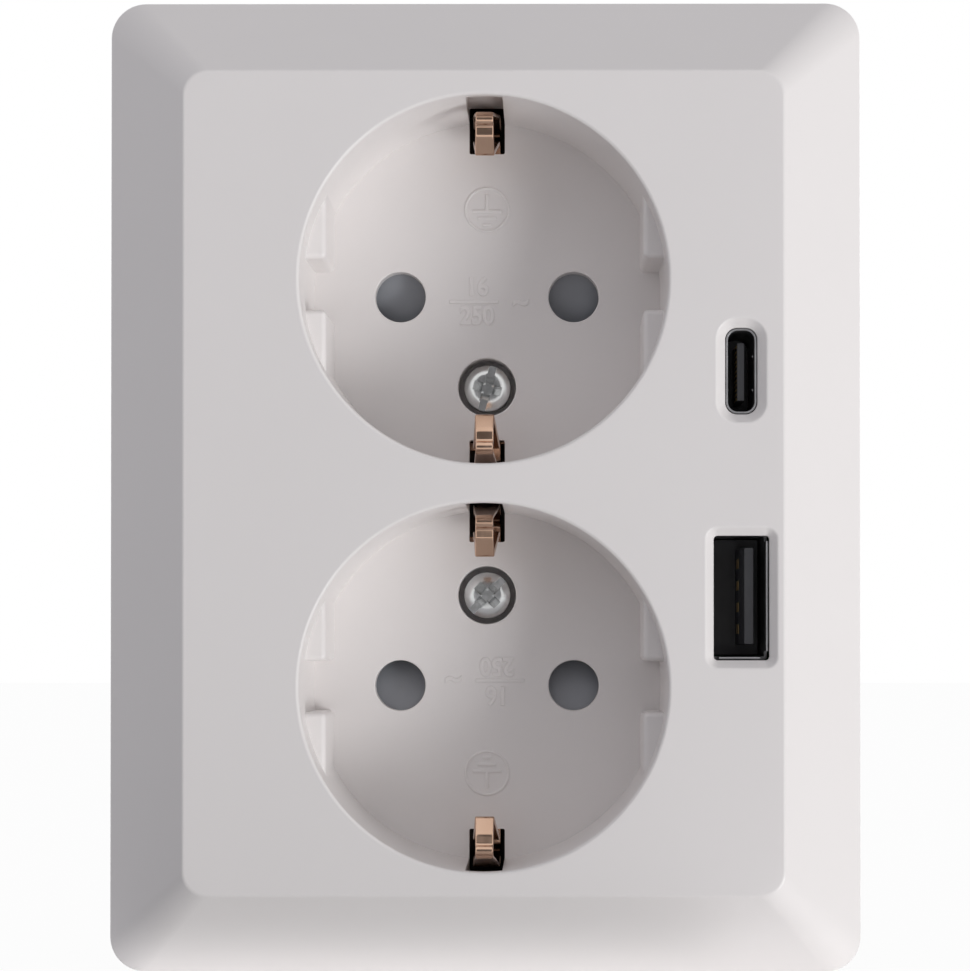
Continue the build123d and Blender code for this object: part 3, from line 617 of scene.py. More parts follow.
def well_walls():
    """Wall, floor and screw boss of one well, still solid."""
    reach = WELL_R + WELL_WALL
    top = FRONT_Y + SHELL / 2
    cup = lathe("cup", ((0, top), (reach, top), (reach, FLOOR_BACK), (0, FLOOR_BACK)), CUP_STEPS)
    boss_r = RECESS_R + RECESS_WALL
    profile = ((0, FLOOR_Y), (boss_r, FLOOR_Y), (boss_r, BOSS_BACK), (0, BOSS_BACK))
    return [cup, lathe("boss", profile, BOSS_STEPS, z=-SCREW_OFFSET)]


def well_tools():
    """What is cut from the cover for one well, about the well's centre."""
    floor_r = WELL_R - WELL_DRAFT
    above = FRONT_Y - CUT_OVER
    foot, top = Vector((floor_r, FLOOR_Y)), Vector((WELL_R, FRONT_Y + RIM_ROUND))
    wall = [tuple(foot.lerp(top, i / WALL_STEPS)) for i in range(WALL_STEPS)]
    rim = arc((WELL_R + RIM_ROUND, FRONT_Y + RIM_ROUND), RIM_ROUND, 180, 270, 8)
    profile = [(0, FLOOR_Y)] + wall + rim + [(WELL_R + RIM_ROUND, above), (0, above)]
    space = lathe("space", profile, WELL_STEPS)
    lugs = []
    for side in (-1, 1):
        for half in (-1, 1):
            xs = sorted((side * LUG_X, side * (WELL_R + WELL_WALL)))
            zs = sorted((half * LUG_GAP / 2, half * (WELL_R + WELL_WALL)))
            low = (xs[0], FRONT_Y + LUG_DROP, zs[0])
            high = (xs[1], FLOOR_BACK + 2 * CUT_OVER, zs[1])
            lugs.append(box("lug", low, high, LUG_ROUND, 4))
    boolean(space, lugs, "DIFFERENCE")
    tools = [space]
    for side in (-1, 1):
        zs = sorted((side * NOTCH_R, side * NOTCH_BACK))
        low = (-NOTCH_W / 2, FRONT_Y + NOTCH_DROP, zs[0])
        high = (NOTCH_W / 2, FLOOR_BACK + CUT_OVER, zs[1])
        tools.append(box("notch", low, high, NOTCH_ROUND, 3))
    for x in (-PIN_X, PIN_X):
        edge = arc((PIN_HOLE_R + PIN_EDGE, FLOOR_Y + PIN_EDGE), PIN_EDGE, 180, 270, 4)
        deep = FLOOR_BACK + CUT_OVER
        profile = [(0, deep), (PIN_HOLE_R, deep)] + edge
        profile += [(PIN_HOLE_R + PIN_EDGE, FLOOR_Y - CUT_OVER), (0, FLOOR_Y - CUT_OVER)]
        tools.append(lathe("pin_hole", profile, PIN_STEPS, x=x))
    edge = arc((RECESS_R + PIN_EDGE, FLOOR_Y + PIN_EDGE), PIN_EDGE, 180, 270, 4)
    hole_r = SHANK_R + SHANK_PASS
    deep = BOSS_BACK + CUT_OVER
    collar_y = BOSS_BACK - COLLAR_D
    profile = [(0, deep), (hole_r, deep), (hole_r, HEAD_SEAT), (HEAD_R, HEAD_SEAT)]
    profile += [(HEAD_R, collar_y), (RECESS_R, collar_y)] + edge
    profile += [(RECESS_R + PIN_EDGE, FLOOR_Y - CUT_OVER), (0, FLOOR_Y - CUT_OVER)]
    tools.append(lathe("screw_recess", profile, SCREW_STEPS, z=-SCREW_OFFSET))
    return tools


def notch_openings():
    """Where the notches of one well break through the wall behind the clips."""
    tools = []
    for side in (-1, 1):
        zs = sorted((side * (NOTCH_R + CUT_OVER), side * (WELL_R + WELL_WALL + NOTCH_OPEN_PAST)))
        low = (-NOTCH_W / 2 + NOTCH_OPEN_SIDE, NOTCH_OPEN_Y, zs[0])
        high = (NOTCH_W / 2 - NOTCH_OPEN_SIDE, FLOOR_BACK + 2 * CUT_OVER, zs[1])
        tools.append(box("notch_opening", low, high))
    return tools


def port_tool(name, width, height, corner, bevel, depth, z):
    """Opening of one port with its sloping, softly rounded edge."""
    slope = rounded(
        ((bevel + CUT_OVER, FRONT_Y), (bevel, FRONT_Y), (0, FRONT_Y + bevel), (0, FRONT_Y + depth)),
        (PORT_ROUND * 2, PORT_ROUND),
        5,
    )
    reach = slope[1][0]
    line = [(reach, FRONT_Y - CUT_OVER)] + slope[1:]
    loops = []
    for grow, y in line:
        loop = rectangle_loop(width + 2 * grow, height + 2 * grow, corner + grow, PORT_STEPS)
        loops.append([(PORT_X + x, y, z + h) for x, h in loop])
    bm = bmesh.new()
    skin(bm, loops)
    return from_bmesh(name, bm)


def front_cover():
    """Plate, wells and port openings in one mesh."""
    cover = plate_blank()
    walls = []
    tools = []
    openings = []
    for place in (UPPER, LOWER):
        for piece in well_walls():
            walls.append(moved(piece, place))
        for piece in well_tools():
            tools.append(moved(piece, place))
        for piece in notch_openings():
            openings.append(moved(piece, place))
    c_w, c_t = USB_C_W + 2 * PORT_GAP, USB_C_T + 2 * PORT_GAP
    c_deep = SHELL + CUT_OVER
    tools.append(port_tool("usb_c_opening", c_t, c_w, USB_C_CORNER, USB_C_BEVEL, c_deep, USB_C_Z))
    a_deep = USB_A_BEVEL + USB_A_WEB
    a_edge = (USB_A_CORNER, USB_A_BEVEL)
    tools.append(port_tool("usb_a_opening", USB_A_T, USB_A_W, *a_edge, a_deep + CUT_LAP, USB_A_Z))
    half_t, half_w = USB_A_T / 2 + USB_A_POCKET, USB_A_W / 2 + USB_A_POCKET
    low = (PORT_X - half_t, FRONT_Y + a_deep, USB_A_Z - half_w)
    high = (PORT_X + half_t, FRONT_Y + SHELL + CUT_OVER, USB_A_Z + half_w)
    tools.append(box("usb_a_pocket", low, high))
    boolean(cover, walls, "UNION")
    boolean(cover, tools, "DIFFERENCE")
    boolean(cover, openings, "DIFFERENCE")
    finish_mesh(cover, FINISHES["white_plastic"])
    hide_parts("front_cover")
    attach(cover, "socket_body")


# Cover screws


def screw_body():
    """One screw about its own axis: low dome head with a slot and a cross, and a plain shank."""
    dome = [(r / 1000, HEAD_TOP + drop / 1000) for r, drop in HEAD_DOME_MM]
    tip = SCREW_HIGH.y
    tail = [(HEAD_R, HEAD_SEAT), (SHANK_R, HEAD_SEAT)]
    tail += [(SHANK_R, tip - SHANK_R / 2), (SHANK_R / 2, tip), (0, tip)]
    screw = lathe("screw_body", dome + tail, SCREW_STEPS)
    half = DRIVE_W / 2
    up = HEAD_TOP - CUT_OVER
    slot = box("slot", (-2 * HEAD_R, up, -half), (2 * HEAD_R, HEAD_TOP + SLOT_D, half))
    tools = [slot, taper("arm", CROSS_TOP, CROSS_FLOOR), taper("arm", CROSS_TOP[::-1], CROSS_FLOOR[::-1])]
    boolean(screw, tools, "DIFFERENCE")
    finish_mesh(screw, FINISHES["zinc_steel"], 28)
    return screw


def taper(name, top, bottom):
    """Tool for the drive: a block that narrows towards its floor, half widths in X and Z."""
    loops = []
    for (half_x, half_z), y in ((top, HEAD_TOP), (bottom, HEAD_TOP + CROSS_D)):
        signs = ((1, 1), (-1, 1), (-1, -1), (1, -1))
        loops.append([(sx * half_x, y, sz * half_z) for sx, sz in signs])
    above = []
    rise = CROSS_RISE
    for (x, y, z), (x1, y1, z1) in zip(*loops):
        above.append((x + rise * (x - x1), y + rise * (y - y1), z + rise * (z - z1)))
    bm = bmesh.new()
    skin(bm, [above, loops[1]])
    return from_bmesh(name, bm)


def fasteners_tree():
    """Node tree that stands one fastener at each point and turns it by the point's own angle."""
    tree = bpy.data.node_groups.new("fasteners", "GeometryNodeTree")
    tree.interface.new_socket("Points", in_out="INPUT", socket_type="NodeSocketGeometry")
    tree.interface.new_socket("Fastener", in_out="INPUT", socket_type="NodeSocketObject")
    tree.interface.new_socket("Finish", in_out="INPUT", socket_type="NodeSocketMaterial")
    tree.interface.new_socket("Fasteners", in_out="OUTPUT", socket_type="NodeSocketGeometry")
    add = tree.nodes.new
    link = tree.links.new
    source = add("NodeGroupInput")
    result = add("NodeGroupOutput")
    info = add("GeometryNodeObjectInfo")
    angle = add("GeometryNodeInputNamedAttribute")
    angle.data_type = "FLOAT"
    angle.inputs["Name"].default_value = "turn"
    turn = add("FunctionNodeAxisAngleToRotation")
    turn.inputs["Axis"].default_value = (0, -1, 0)
    stand = add("GeometryNodeInstanceOnPoints")
    real = add("GeometryNodeRealizeInstances")
    paint = add("GeometryNodeSetMaterial")
    link(source.outputs["Points"], stand.inputs["Points"])
    link(source.outputs["Fastener"], info.inputs["Object"])
    link(info.outputs["Geometry"], stand.inputs["Instance"])
    link(angle.outputs["Attribute"], turn.inputs["Angle"])
    link(turn.outputs["Rotation"], stand.inputs["Rotation"])
    link(stand.outputs["Instances"], real.inputs["Geometry"])
    link(real.outputs["Geometry"], paint.inputs["Geometry"])
    link(source.outputs["Finish"], paint.inputs["Material"])
    link(paint.outputs["Geometry"], result.inputs["Fasteners"])
    return tree


def socket_id(tree, name):
    return next(s.identifier for s in tree.interface.items_tree if s.name == name and s.in_out == "INPUT")


def run_nodes(piece, tree, settings):
    """Set a tree's named inputs, run it once and keep the result as a plain mesh."""
    step = piece.modifiers.new("nodes", "NODES")
    step.node_group = tree
    for name, value in settings.items():
        step[socket_id(tree, name)] = value
    apply_modifiers(piece)


def stand_at(name, places, pattern, finish):
    """Copies of a fastener at (x, z, turn) places."""
    mesh = bpy.data.meshes.new(name)
    mesh.from_pydata([(x, 0, z) for x, z, turn in places], [], [])
    turns = mesh.attributes.new("turn", "FLOAT", "POINT")
    turns.data.foreach_set("value", [turn for x, z, turn in places])
    piece = new_object(name, mesh)
    run_nodes(piece, FASTENERS, {"Fastener": pattern, "Finish": finish})
    bpy.data.objects.remove(pattern)
    return piece


FASTENERS = fasteners_tree()


def cover_screws():
    """Both screws, each turned as it was driven."""
    z = WELL_Z - SCREW_OFFSET
    places = ((0, z, UPPER_DRIVE_ANGLE), (0, -z, LOWER_DRIVE_ANGLE))
    screws = stand_at("cover_screws_visual", places, screw_body(), FINISHES["zinc_steel"])
    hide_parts("cover_screws")
    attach(screws, "socket_body")


# Earth straps with their sprung clips


def clip_ribbon():
    """One clip at the top of a well: a bent strip that widens down its leg, with soft edges."""
    root = STRAP_Y + CLIP_T / 2
    points = [(STRAP_W, root), (CLIP_R, root)]
    points += [(r, FRONT_Y + drop) for r, drop in CLIP_LEG + CLIP_RAMP]
    points.append((CLIP_RAMP[-1][0] + CLIP_NOSE_LEAN, FRONT_Y + CLIP_NOSE_END))
    points.append((CLIP_TAIL[0], FRONT_Y + CLIP_TAIL[1]))
    line = rounded(points, CLIP_BENDS, 6)
    fold_y = FRONT_Y + CLIP_RAMP[0][1]
    wide_y = FRONT_Y + CLIP_LEG[1][1]
    bm = bmesh.new()
    rows = []
    on_leg = True
    for r, y in line:
        on_leg = on_leg and y > fold_y + CLIP_LEG_END
        if on_leg:
            share = min(1, (y - fold_y) / (wide_y - fold_y))
            half = (CLIP_FOLD_W + (CLIP_ROOT_W - CLIP_FOLD_W) * share) / 2
        else:
            share = min(1, max(0, (CLIP_RAMP[0][0] - r) / (CLIP_RAMP[0][0] - CLIP_RAMP[-1][0])))
            ends = CLIP_FOLD_W + (CLIP_NOSE_W - CLIP_FOLD_W) * share
            half = (ends + (CLIP_W - ends) * math.sin(math.pi * share)) / 2
        rows.append([bm.verts.new((side * half, y, r)) for side in (-1, 1)])
    for low, high in zip(rows, rows[1:]):
        bm.faces.new((low[0], low[1], high[1], high[0]))
    clip = from_bmesh("clip", bm)
    wall = clip.modifiers.new("sheet", "SOLIDIFY")
    wall.thickness = CLIP_T
    wall.offset = 0
    soft = clip.modifiers.new("edges", "BEVEL")
    soft.width = CLIP_EDGE
    soft.segments = 3
    soft.limit_method = "ANGLE"
    soft.angle_limit = math.radians(CLIP_EDGE_ANGLE)
    apply_modifiers(clip)
    return clip


def earth_strap(name, place, tab_side):
    """Strap behind a well floor with a clip at each end and a tab towards the other strap."""
    top = clip_ribbon()
    low = copied(top, "clip", MIRROR_Z)
    low.data.flip_normals()
    back = STRAP_Y + STRAP_T
    half = STRAP_W / 2
    bar = box("strap", (-half, STRAP_Y, -STRAP_REACH), (half, back, STRAP_REACH), STRAP_EDGE, 2)
    start, end = STRAP_Y - CUT_OVER, STRAP_Y + 2 * CUT_OVER
    profile = ((0, start), (SHANK_R, start), (SHANK_R, end), (0, end))
    boolean(bar, [lathe("hole", profile, STRAP_HOLE_STEPS, z=-SCREW_OFFSET)], "DIFFERENCE")
    for piece in (top, low, bar):
        moved(piece, place)
    z = tab_side * TAB_Z
    tab = box("tab", (-TAB_X, STRAP_Y, z - TAB_W / 2), (0, back, z + TAB_W / 2), STRAP_EDGE, 2)
    strap = joined(name + "_visual", [top, low, bar, tab])
    finish_mesh(strap, FINISHES["copper"], 40)
    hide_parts(name)
    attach(strap, "socket_body")


# Return springs of the shutters


def return_spring(name):
    """Coil of wire in the box of a shutter's return spring."""
    low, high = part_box(name)
    middle = (low + high) / 2
    wire = SPRING_WIRE / 2
    coil_r = (high.x - low.x) / 2 - wire
    count = SPRING_TURNS * SPRING_STEPS
    loops = []
    for i in range(count + 1):
        turn = 2 * math.pi * i / SPRING_STEPS
        level = low.z + wire + (high.z - low.z - 2 * wire) * i / count
        loop = []
        for reach, rise in arc((coil_r, level), wire, 0, 360, SPRING_SIDES)[:-1]:
            loop.append((middle.x + reach * math.cos(turn), middle.y + reach * math.sin(turn), rise))
        loops.append(loop)
    bm = bmesh.new()
    skin(bm, loops)
    coil = from_bmesh(name + "_visual", bm)
    finish_mesh(coil, FINISHES["spring_steel"], 50)
    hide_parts(name)
    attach(coil, "socket_body")
    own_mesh(coil)


def return_springs():
    """A coil for each spring that the record says a joint presses."""
    for joint in frame["record"]["behaviour"]["joints"]:
        for pressed in joint["deforming_nodes"]:
            return_spring(pressed["node"])


# Port shells and contact pads


def shell_loops(width, height, corner, wall, front, back):
    """Loops round a drawn shell with a rounded lip: outside, lip, inside."""
    lip = arc((wall / 2, front + wall / 2), wall / 2, 180, 360, LIP_STEPS)
    loops = []
    for inset, y in [(0, back)] + lip + [(wall, back), (0, back)]:
        radius = max(corner - inset, SHELL_CORNER)
        loop = rectangle_loop(width - 2 * inset, height - 2 * inset, radius, SHELL_STEPS)
        loops.append([(x, y, z) for x, z in loop])
    return loops


def dress_shell(shell, node):
    """Finish and body of a port shell, whose CAD node is hidden."""
    finish_mesh(shell, FINISHES["port_steel"], 40)
    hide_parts(node)
    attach(shell, "socket_body")


def small_port_shell():
    """Small port's shell, with two sprung dimples on each long side."""
    low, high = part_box("usb_c_shell")
    bm = bmesh.new()
    skin(bm, shell_loops(USB_C_T, USB_C_W, USB_C_CORNER, PORT_WALL, low.y, high.y), cap=False)
    pieces = [from_bmesh("shell", bm)]
    for side in (-1, 1):
        for z in (-DIMPLE_Z, DIMPLE_Z):
            bm = bmesh.new()
            bmesh.ops.create_uvsphere(bm, u_segments=16, v_segments=10, radius=DIMPLE_R)
            place = (side * (USB_C_T / 2 - PORT_WALL), low.y + DIMPLE_DEPTH, z)
            bmesh.ops.translate(bm, vec=place, verts=bm.verts)
            pieces.append(from_bmesh("dimple", bm))
    shell = joined("usb_c_shell_visual", pieces)
    moved(shell, Matrix.Translation((PORT_X, 0, USB_C_Z)))
    dress_shell(shell, "usb_c_shell")


def large_port_shell():
    """Large port's shell, its front corners cut away."""
    low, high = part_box("usb_a_shell")
    bm = bmesh.new()
    skin(bm, shell_loops(A_SHELL_T, A_SHELL_W, USB_A_CORNER, A_SHELL_WALL, low.y, high.y), cap=False)
    shell = from_bmesh("usb_a_shell_visual", bm)
    cuts = []
    for x in (-A_SHELL_T / 2, A_SHELL_T / 2):
        for z in (-A_SHELL_W / 2, A_SHELL_W / 2):
            cut = (A_CORNER_CUT, A_CUT_DEEP, A_CORNER_CUT)
            middle = Vector((x, low.y, z))
            cuts.append(box("cut", middle - Vector(cut), middle + Vector(cut)))
    boolean(shell, cuts, "DIFFERENCE")
    moved(shell, Matrix.Translation((A_SHELL_X, 0, A_SHELL_Z)))
    dress_shell(shell, "usb_a_shell")


def large_port_tongue():
    """Large port's tongue, bevelled most on its contact side, on the port's back wall."""
    low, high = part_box("usb_a_tongue")
    middle = (low + high) / 2
    back = high.y - A_BACK_T
    loops = []
    rows = ((A_TONGUE_FRONT, low.y), (A_TONGUE, low.y + A_TONGUE_BEVEL), (A_TONGUE, back))
    for (x0, x1, half), y in rows:
        loop = rectangle_loop(x1 - x0, 2 * half, TONGUE_EDGE, 4)
        loops.append([(x + (x0 + x1) / 2, y, z + middle.z) for x, z in loop])
    bm = bmesh.new()
    skin(bm, loops)
    wall = box("wall", (low.x, back, low.z), high, TONGUE_EDGE, 2)
    tongue = joined("usb_a_tongue_visual", [from_bmesh("blade", bm), wall])
    finish_mesh(tongue, FINISHES["port_black"], 30)
    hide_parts("usb_a_tongue")
    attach(tongue, "socket_body")


def pads_tree():
    """Node tree that lays a row of pads along Z from each start point."""
    tree = bpy.data.node_groups.new("contact_pads", "GeometryNodeTree")
    tree.interface.new_socket("Starts", in_out="INPUT", socket_type="NodeSocketGeometry")
    tree.interface.new_socket("Count", in_out="INPUT", socket_type="NodeSocketInt")
    tree.interface.new_socket("Pitch", in_out="INPUT", socket_type="NodeSocketVector")
    tree.interface.new_socket("Size", in_out="INPUT", socket_type="NodeSocketVector")
    tree.interface.new_socket("Finish", in_out="INPUT", socket_type="NodeSocketMaterial")
    tree.interface.new_socket("Pads", in_out="OUTPUT", socket_type="NodeSocketGeometry")
    add = tree.nodes.new
    link = tree.links.new
    source = add("NodeGroupInput")
    result = add("NodeGroupOutput")
    row = add("GeometryNodeMeshLine")
    rows = add("GeometryNodeInstanceOnPoints")
    places = add("GeometryNodeRealizeInstances")
    pad = add("GeometryNodeMeshCube")
    pads = add("GeometryNodeInstanceOnPoints")
    real = add("GeometryNodeRealizeInstances")
    paint = add("GeometryNodeSetMaterial")
    link(source.outputs["Count"], row.inputs["Count"])
    link(source.outputs["Pitch"], row.inputs["Offset"])
    link(source.outputs["Starts"], rows.inputs["Points"])
    link(row.outputs["Mesh"], rows.inputs["Instance"])
    link(rows.outputs["Instances"], places.inputs["Geometry"])
    link(places.outputs["Geometry"], pads.inputs["Points"])
    link(source.outputs["Size"], pad.inputs["Size"])
    link(pad.outputs["Mesh"], pads.inputs["Instance"])
    link(pads.outputs["Instances"], real.inputs["Geometry"])
    link(real.outputs["Geometry"], paint.inputs["Geometry"])
    link(source.outputs["Finish"], paint.inputs["Material"])
    link(paint.outputs["Geometry"], result.inputs["Pads"])
    return tree


PADS = pads_tree()


def contact_pads(node, xs, count, pitch, size):
    """Thin plated pads on a tongue, where the CAD has the contacts."""
    low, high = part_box(node)
    middle = (low + high) / 2
    mesh = bpy.data.meshes.new(node)
    start = middle.z - (count - 1) / 2 * pitch
    mesh.from_pydata([(x, middle.y + PAD_SET_BACK, start) for x in xs], [], [])
    pads = new_object(node + "_visual", mesh)
    settings = {"Count": count, "Pitch": (0, 0, pitch), "Size": size, "Finish": FINISHES["pad_gold"]}
    run_nodes(pads, PADS, settings)
    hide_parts(node)
    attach(pads, "socket_body")


def port_pads():
    """Two rows on the small port's tongue and one on the large port's."""
    inset = C_PAD[0] / 2
    half = C_TONGUE_T / 2 + inset
    contact_pads("usb_c_contacts", (PORT_X - half, PORT_X + half), C_PADS, C_PAD_PITCH, C_PAD)
    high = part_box("usb_a_contacts")[1]
    contact_pads("usb_a_contacts", (high.x - inset,), A_PADS, A_PAD_PITCH, A_PAD)


# Marks on the well floors


def mark_text(words, height, x, z):
    """Raised digits, drawn in X and Z about (x, z)."""
    curve = bpy.data.curves.new("digits", "FONT")
    curve.body = words
    curve.size = height / DIGIT_CAP
    curve.align_x = "CENTER"
    curve.align_y = "CENTER"
    curve.extrude = MARK_T - MARK_EDGE
    curve.bevel_depth = MARK_EDGE
    curve.bevel_resolution = 2
    text = new_object("digits", curve)
    mesh = evaluated_mesh(text)
    bpy.data.objects.remove(text)
    bm = bmesh.new()
    bm.from_mesh(mesh)
    piece = from_bmesh("digits", bm)
    stand = Matrix.Rotation(math.pi / 2, 4, "X") @ Matrix.Diagonal((DIGIT_NARROW, 1, 1, 1))
    return moved(piece, Matrix.Translation((x, FLOOR_Y, z)) @ stand)


def mark_bar(x0, x1, z0, z1):
    return box("bar", (x0, FLOOR_Y - MARK_T, z0), (x1, FLOOR_Y + MARK_T, z1), MARK_EDGE, 2)


def mark_ring(radius, line, z):
    """Raised ring with a rounded section."""
    bm = bmesh.new()
    loops = []
    middle = radius - line / 2
    for k in range(RING_SIDES + 1):
        turn = 2 * math.pi * k / RING_SIDES
        r = middle + line / 2 * math.cos(turn)
        y = FLOOR_Y + MARK_T * math.sin(turn)
        turns = [2 * math.pi * i / RING_STEPS for i in range(RING_STEPS)]
        loops.append([(r * math.cos(t), y, z + r * math.sin(t)) for t in turns])
    skin(bm, loops, cap=False)
    return from_bmesh("ring", bm)


def well_marks():
    """Earth sign in a ring and the plain rating digits of one well, about its centre."""
    z = SCREW_OFFSET - SIGN_LOW
    half = MARK_LINE / 2
    pieces = [mark_ring(RING_R, RING_LINE, z)]
    pieces.append(mark_bar(-half, half, z - SIGN_DROP, z + SIGN_STEM))
    for step, reach in enumerate(SIGN_BARS):
        level = z - SIGN_DROP - step * SIGN_STEP
        pieces.append(mark_bar(-reach, reach, level - half, level + half))
    left, right = (RATING_X + reach for reach in RATING_BAR)
    pieces.append(mark_text("16", DIGIT_H, RATING_X, RATING_Z + RATING_ROW))
    pieces.append(mark_bar(left, right, RATING_Z - half, RATING_Z + half))
    pieces.append(mark_text("250", DIGIT_H, RATING_X, RATING_Z - RATING_ROW))
    pieces.append(mark_text("~", WAVE_H, RATING_X + WAVE_X, RATING_Z))
    return joined("well_marks_upper", pieces)


def floor_marks():
    """The same marks in both wells, the lower ones turned round."""
    upper = well_marks()
    lower = copied(upper, "well_marks_lower", LOWER)
    moved(upper, UPPER)
    for marks in (upper, lower):
        finish_mesh(marks, FINISHES["white_plastic"], 30)
        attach(marks, "socket_body")


# Studio


def studio_floor():
    """Pale floor under the object, white for rays that meet the background, open to lamp light."""
    mesh = bpy.data.meshes.new("floor")
    z = cad_low.z
    reach = FLOOR_REACH
    corners = [(-reach, -reach, z), (reach, -reach, z), (reach, reach, z), (-reach, reach, z)]
    mesh.from_pydata(corners, [], [(0, 1, 2, 3)])
    floor = new_object("floor", mesh)
    paint = bpy.data.materials.new("floor_paint")
    paint.use_nodes = True
    tree = paint.node_tree
    tree.nodes.remove(tree.nodes["Principled BSDF"])
    matt = tree.nodes.new("ShaderNodeBsdfDiffuse")
    matt.inputs["Color"].default_value = (FLOOR_SHADE, FLOOR_SHADE, FLOOR_SHADE, 1)
    glow = tree.nodes.new("ShaderNodeEmission")
    mix = tree.nodes.new("ShaderNodeMixShader")
    share = tree.nodes.new("ShaderNodeMath")
    share.operation = "MULTIPLY"
    share.inputs[1].default_value = FLOOR_WHITE
    tree.links.new(background_rays(tree), share.inputs[0])
    tree.links.new(share.outputs[0], mix.inputs["Fac"])
    tree.links.new(matt.outputs["BSDF"], mix.inputs[1])
    tree.links.new(glow.outputs["Emission"], mix.inputs[2])
    clear = tree.nodes.new("ShaderNodeBsdfTransparent")
    opal = tree.nodes.new("ShaderNodeMixShader")
    path = tree.nodes.new("ShaderNodeLightPath")
    tree.links.new(path.outputs["Is Shadow Ray"], opal.inputs["Fac"])
    tree.links.new(mix.outputs["Shader"], opal.inputs[1])
    tree.links.new(clear.outputs["BSDF"], opal.inputs[2])
    tree.links.new(opal.outputs["Shader"], tree.nodes["Material Output"].inputs["Surface"])
    mesh.materials.append(paint)


def room():
    """Even light, cooler from the left, that the camera sees as white."""
    world = bpy.data.worlds.new("room")
    world.use_nodes = True
    bpy.context.scene.world = world
    tree = world.node_tree
    ambient = tree.nodes["Background"]
    ambient.inputs["Strength"].default_value = AMBIENT
    place = tree.nodes.new("ShaderNodeTexCoord")
    split = tree.nodes.new("ShaderNodeSeparateXYZ")
    sides = tree.nodes.new("ShaderNodeMapRange")
    sides.inputs["From Min"].default_value = -1.0
    ramp = tree.nodes.new("ShaderNodeValToRGB")
    ramp.color_ramp.elements[0].color = ROOM_LEFT
    ramp.color_ramp.elements[1].color = ROOM_RIGHT
    tree.links.new(place.outputs["Generated"], split.inputs["Vector"])
    tree.links.new(split.outputs["X"], sides.inputs["Value"])
    tree.links.new(sides.outputs["Result"], ramp.inputs["Fac"])
    tree.links.new(ramp.outputs["Color"], ambient.inputs["Color"])
    white = tree.nodes.new("ShaderNodeBackground")
    white.inputs["Color"].default_value = (1, 1, 1, 1)
    white.inputs["Strength"].default_value = 1.0
    mix = tree.nodes.new("ShaderNodeMixShader")
    tree.links.new(background_rays(tree), mix.inputs["Fac"])
    tree.links.new(ambient.outputs["Background"], mix.inputs[1])
    tree.links.new(white.outputs["Background"], mix.inputs[2])
    tree.links.new(mix.outputs["Shader"], tree.nodes["World Output"].inputs["Surface"])


def card(name, corners, shade):
    """Plain card that the camera doesn't see."""
    mesh = bpy.data.meshes.new(name)
    mesh.from_pydata(corners, [], [(0, 1, 2, 3)])
    made = new_object(name, mesh)
    cloth = bpy.data.materials.new(name)
    cloth.use_nodes = True
    shader = cloth.node_tree.nodes["Principled BSDF"]
    shader.inputs["Base Color"].default_value = (shade, shade, shade, 1)
    shader.inputs["Roughness"].default_value = 1.0
    mesh.materials.append(cloth)
    made.visible_camera = False
    return made


def floor_card(name, right, raised, shade):
    """Card on the floor in front of the object, up to its right limit."""
    left = -FLOOR_CARD_HALF
    far, near = FLOOR_CARD_Y
    z = cad_low.z + raised
    return card(name, [(left, far, z), (right, far, z), (right, near, z), (left, near, z)], shade)


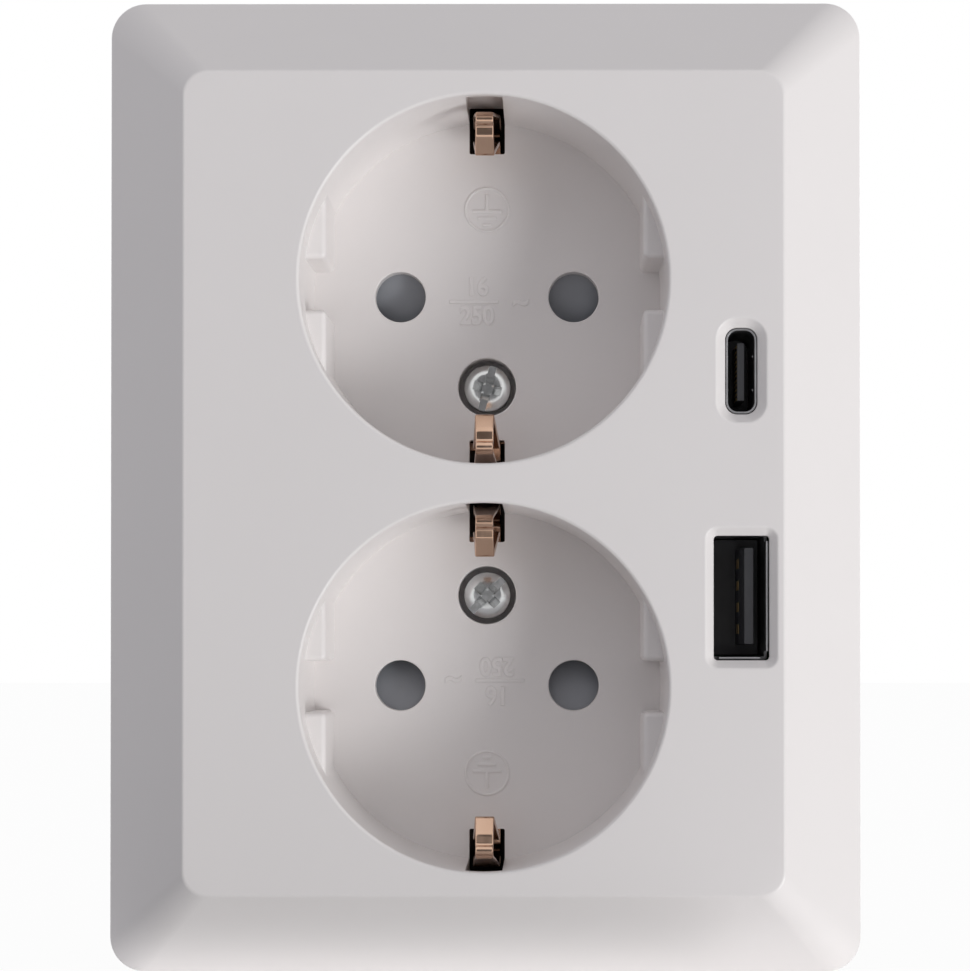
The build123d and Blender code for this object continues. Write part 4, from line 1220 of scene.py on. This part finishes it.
def cards():
    """One card behind the camera and one on the floor for reflections, and one that holds back low light."""
    half = FRONT_CARD_HALF
    y = FRONT_CARD_Y
    low, high = FRONT_CARD_Z
    corners = [(-half, y, low), (half, y, low), (half, y, high), (-half, y, high)]
    front = card("front_card", corners, FRONT_CARD_SHADE)
    grey = floor_card("floor_grey", FLOOR_CARD_HALF, GREY_RAISED, GREY_SHADE)
    for mirrored in (front, grey):
        mirrored.visible_diffuse = False
        mirrored.visible_shadow = False
    flag = floor_card("floor_flag", FLAG_RIGHT, FLAG_RAISED, FLAG_SHADE)
    flag.visible_glossy = False
    flag.visible_shadow = False


def background_rays(tree):
    """1 for rays that should meet a white background."""
    path = tree.nodes.new("ShaderNodeLightPath")
    seen = tree.nodes.new("ShaderNodeMath")
    seen.operation = "MAXIMUM"
    either = tree.nodes.new("ShaderNodeMath")
    either.operation = "MAXIMUM"
    tree.links.new(path.outputs["Is Camera Ray"], seen.inputs[0])
    tree.links.new(path.outputs["Is Glossy Ray"], seen.inputs[1])
    tree.links.new(seen.outputs[0], either.inputs[0])
    tree.links.new(path.outputs["Is Transmission Ray"], either.inputs[1])
    return either.outputs[0]


def area_light(name, place, power):
    """Square soft lamp that faces the object."""
    lamp = bpy.data.lights.new(name, "AREA")
    lamp.shape = "RECTANGLE"
    lamp.size = LAMP_SIZE
    lamp.size_y = LAMP_SIZE
    lamp.energy = power
    light = bpy.data.objects.new(name, lamp)
    light.location = place
    light.rotation_euler = (-Vector(place)).to_track_quat("-Z", "Y").to_euler()
    bpy.context.scene.collection.objects.link(light)


def studio():
    """Floor, cards, white room and two soft lamps low at the right."""
    studio_floor()
    cards()
    room()
    area_light("key", KEY_PLACE, KEY_POWER)
    area_light("low_key", LOW_KEY_PLACE, LOW_KEY_POWER)


def camera():
    """Long lens in front of the plate, a little low and to the right."""
    lens = bpy.data.cameras.new("camera")
    lens.sensor_width = SENSOR
    lens.lens = LENS
    lens.shift_x, lens.shift_y = LENS_SHIFT
    lens.clip_start = NEAR_LIMIT
    eye = bpy.data.objects.new("camera", lens)
    eye.location = EYE
    eye.rotation_euler = (math.radians(90 + EYE_TILT), 0, math.radians(EYE_TURN))
    bpy.context.scene.collection.objects.link(eye)
    bpy.context.scene.camera = eye


dress_nodes()
front_cover()
cover_screws()
earth_strap("upper_earth_clip", UPPER, 1)
earth_strap("lower_earth_clip", LOWER, -1)
return_springs()
small_port_shell()
large_port_shell()
large_port_tongue()
port_pads()
floor_marks()
studio()
camera()
bpy.context.scene.view_settings.view_transform = "Standard"
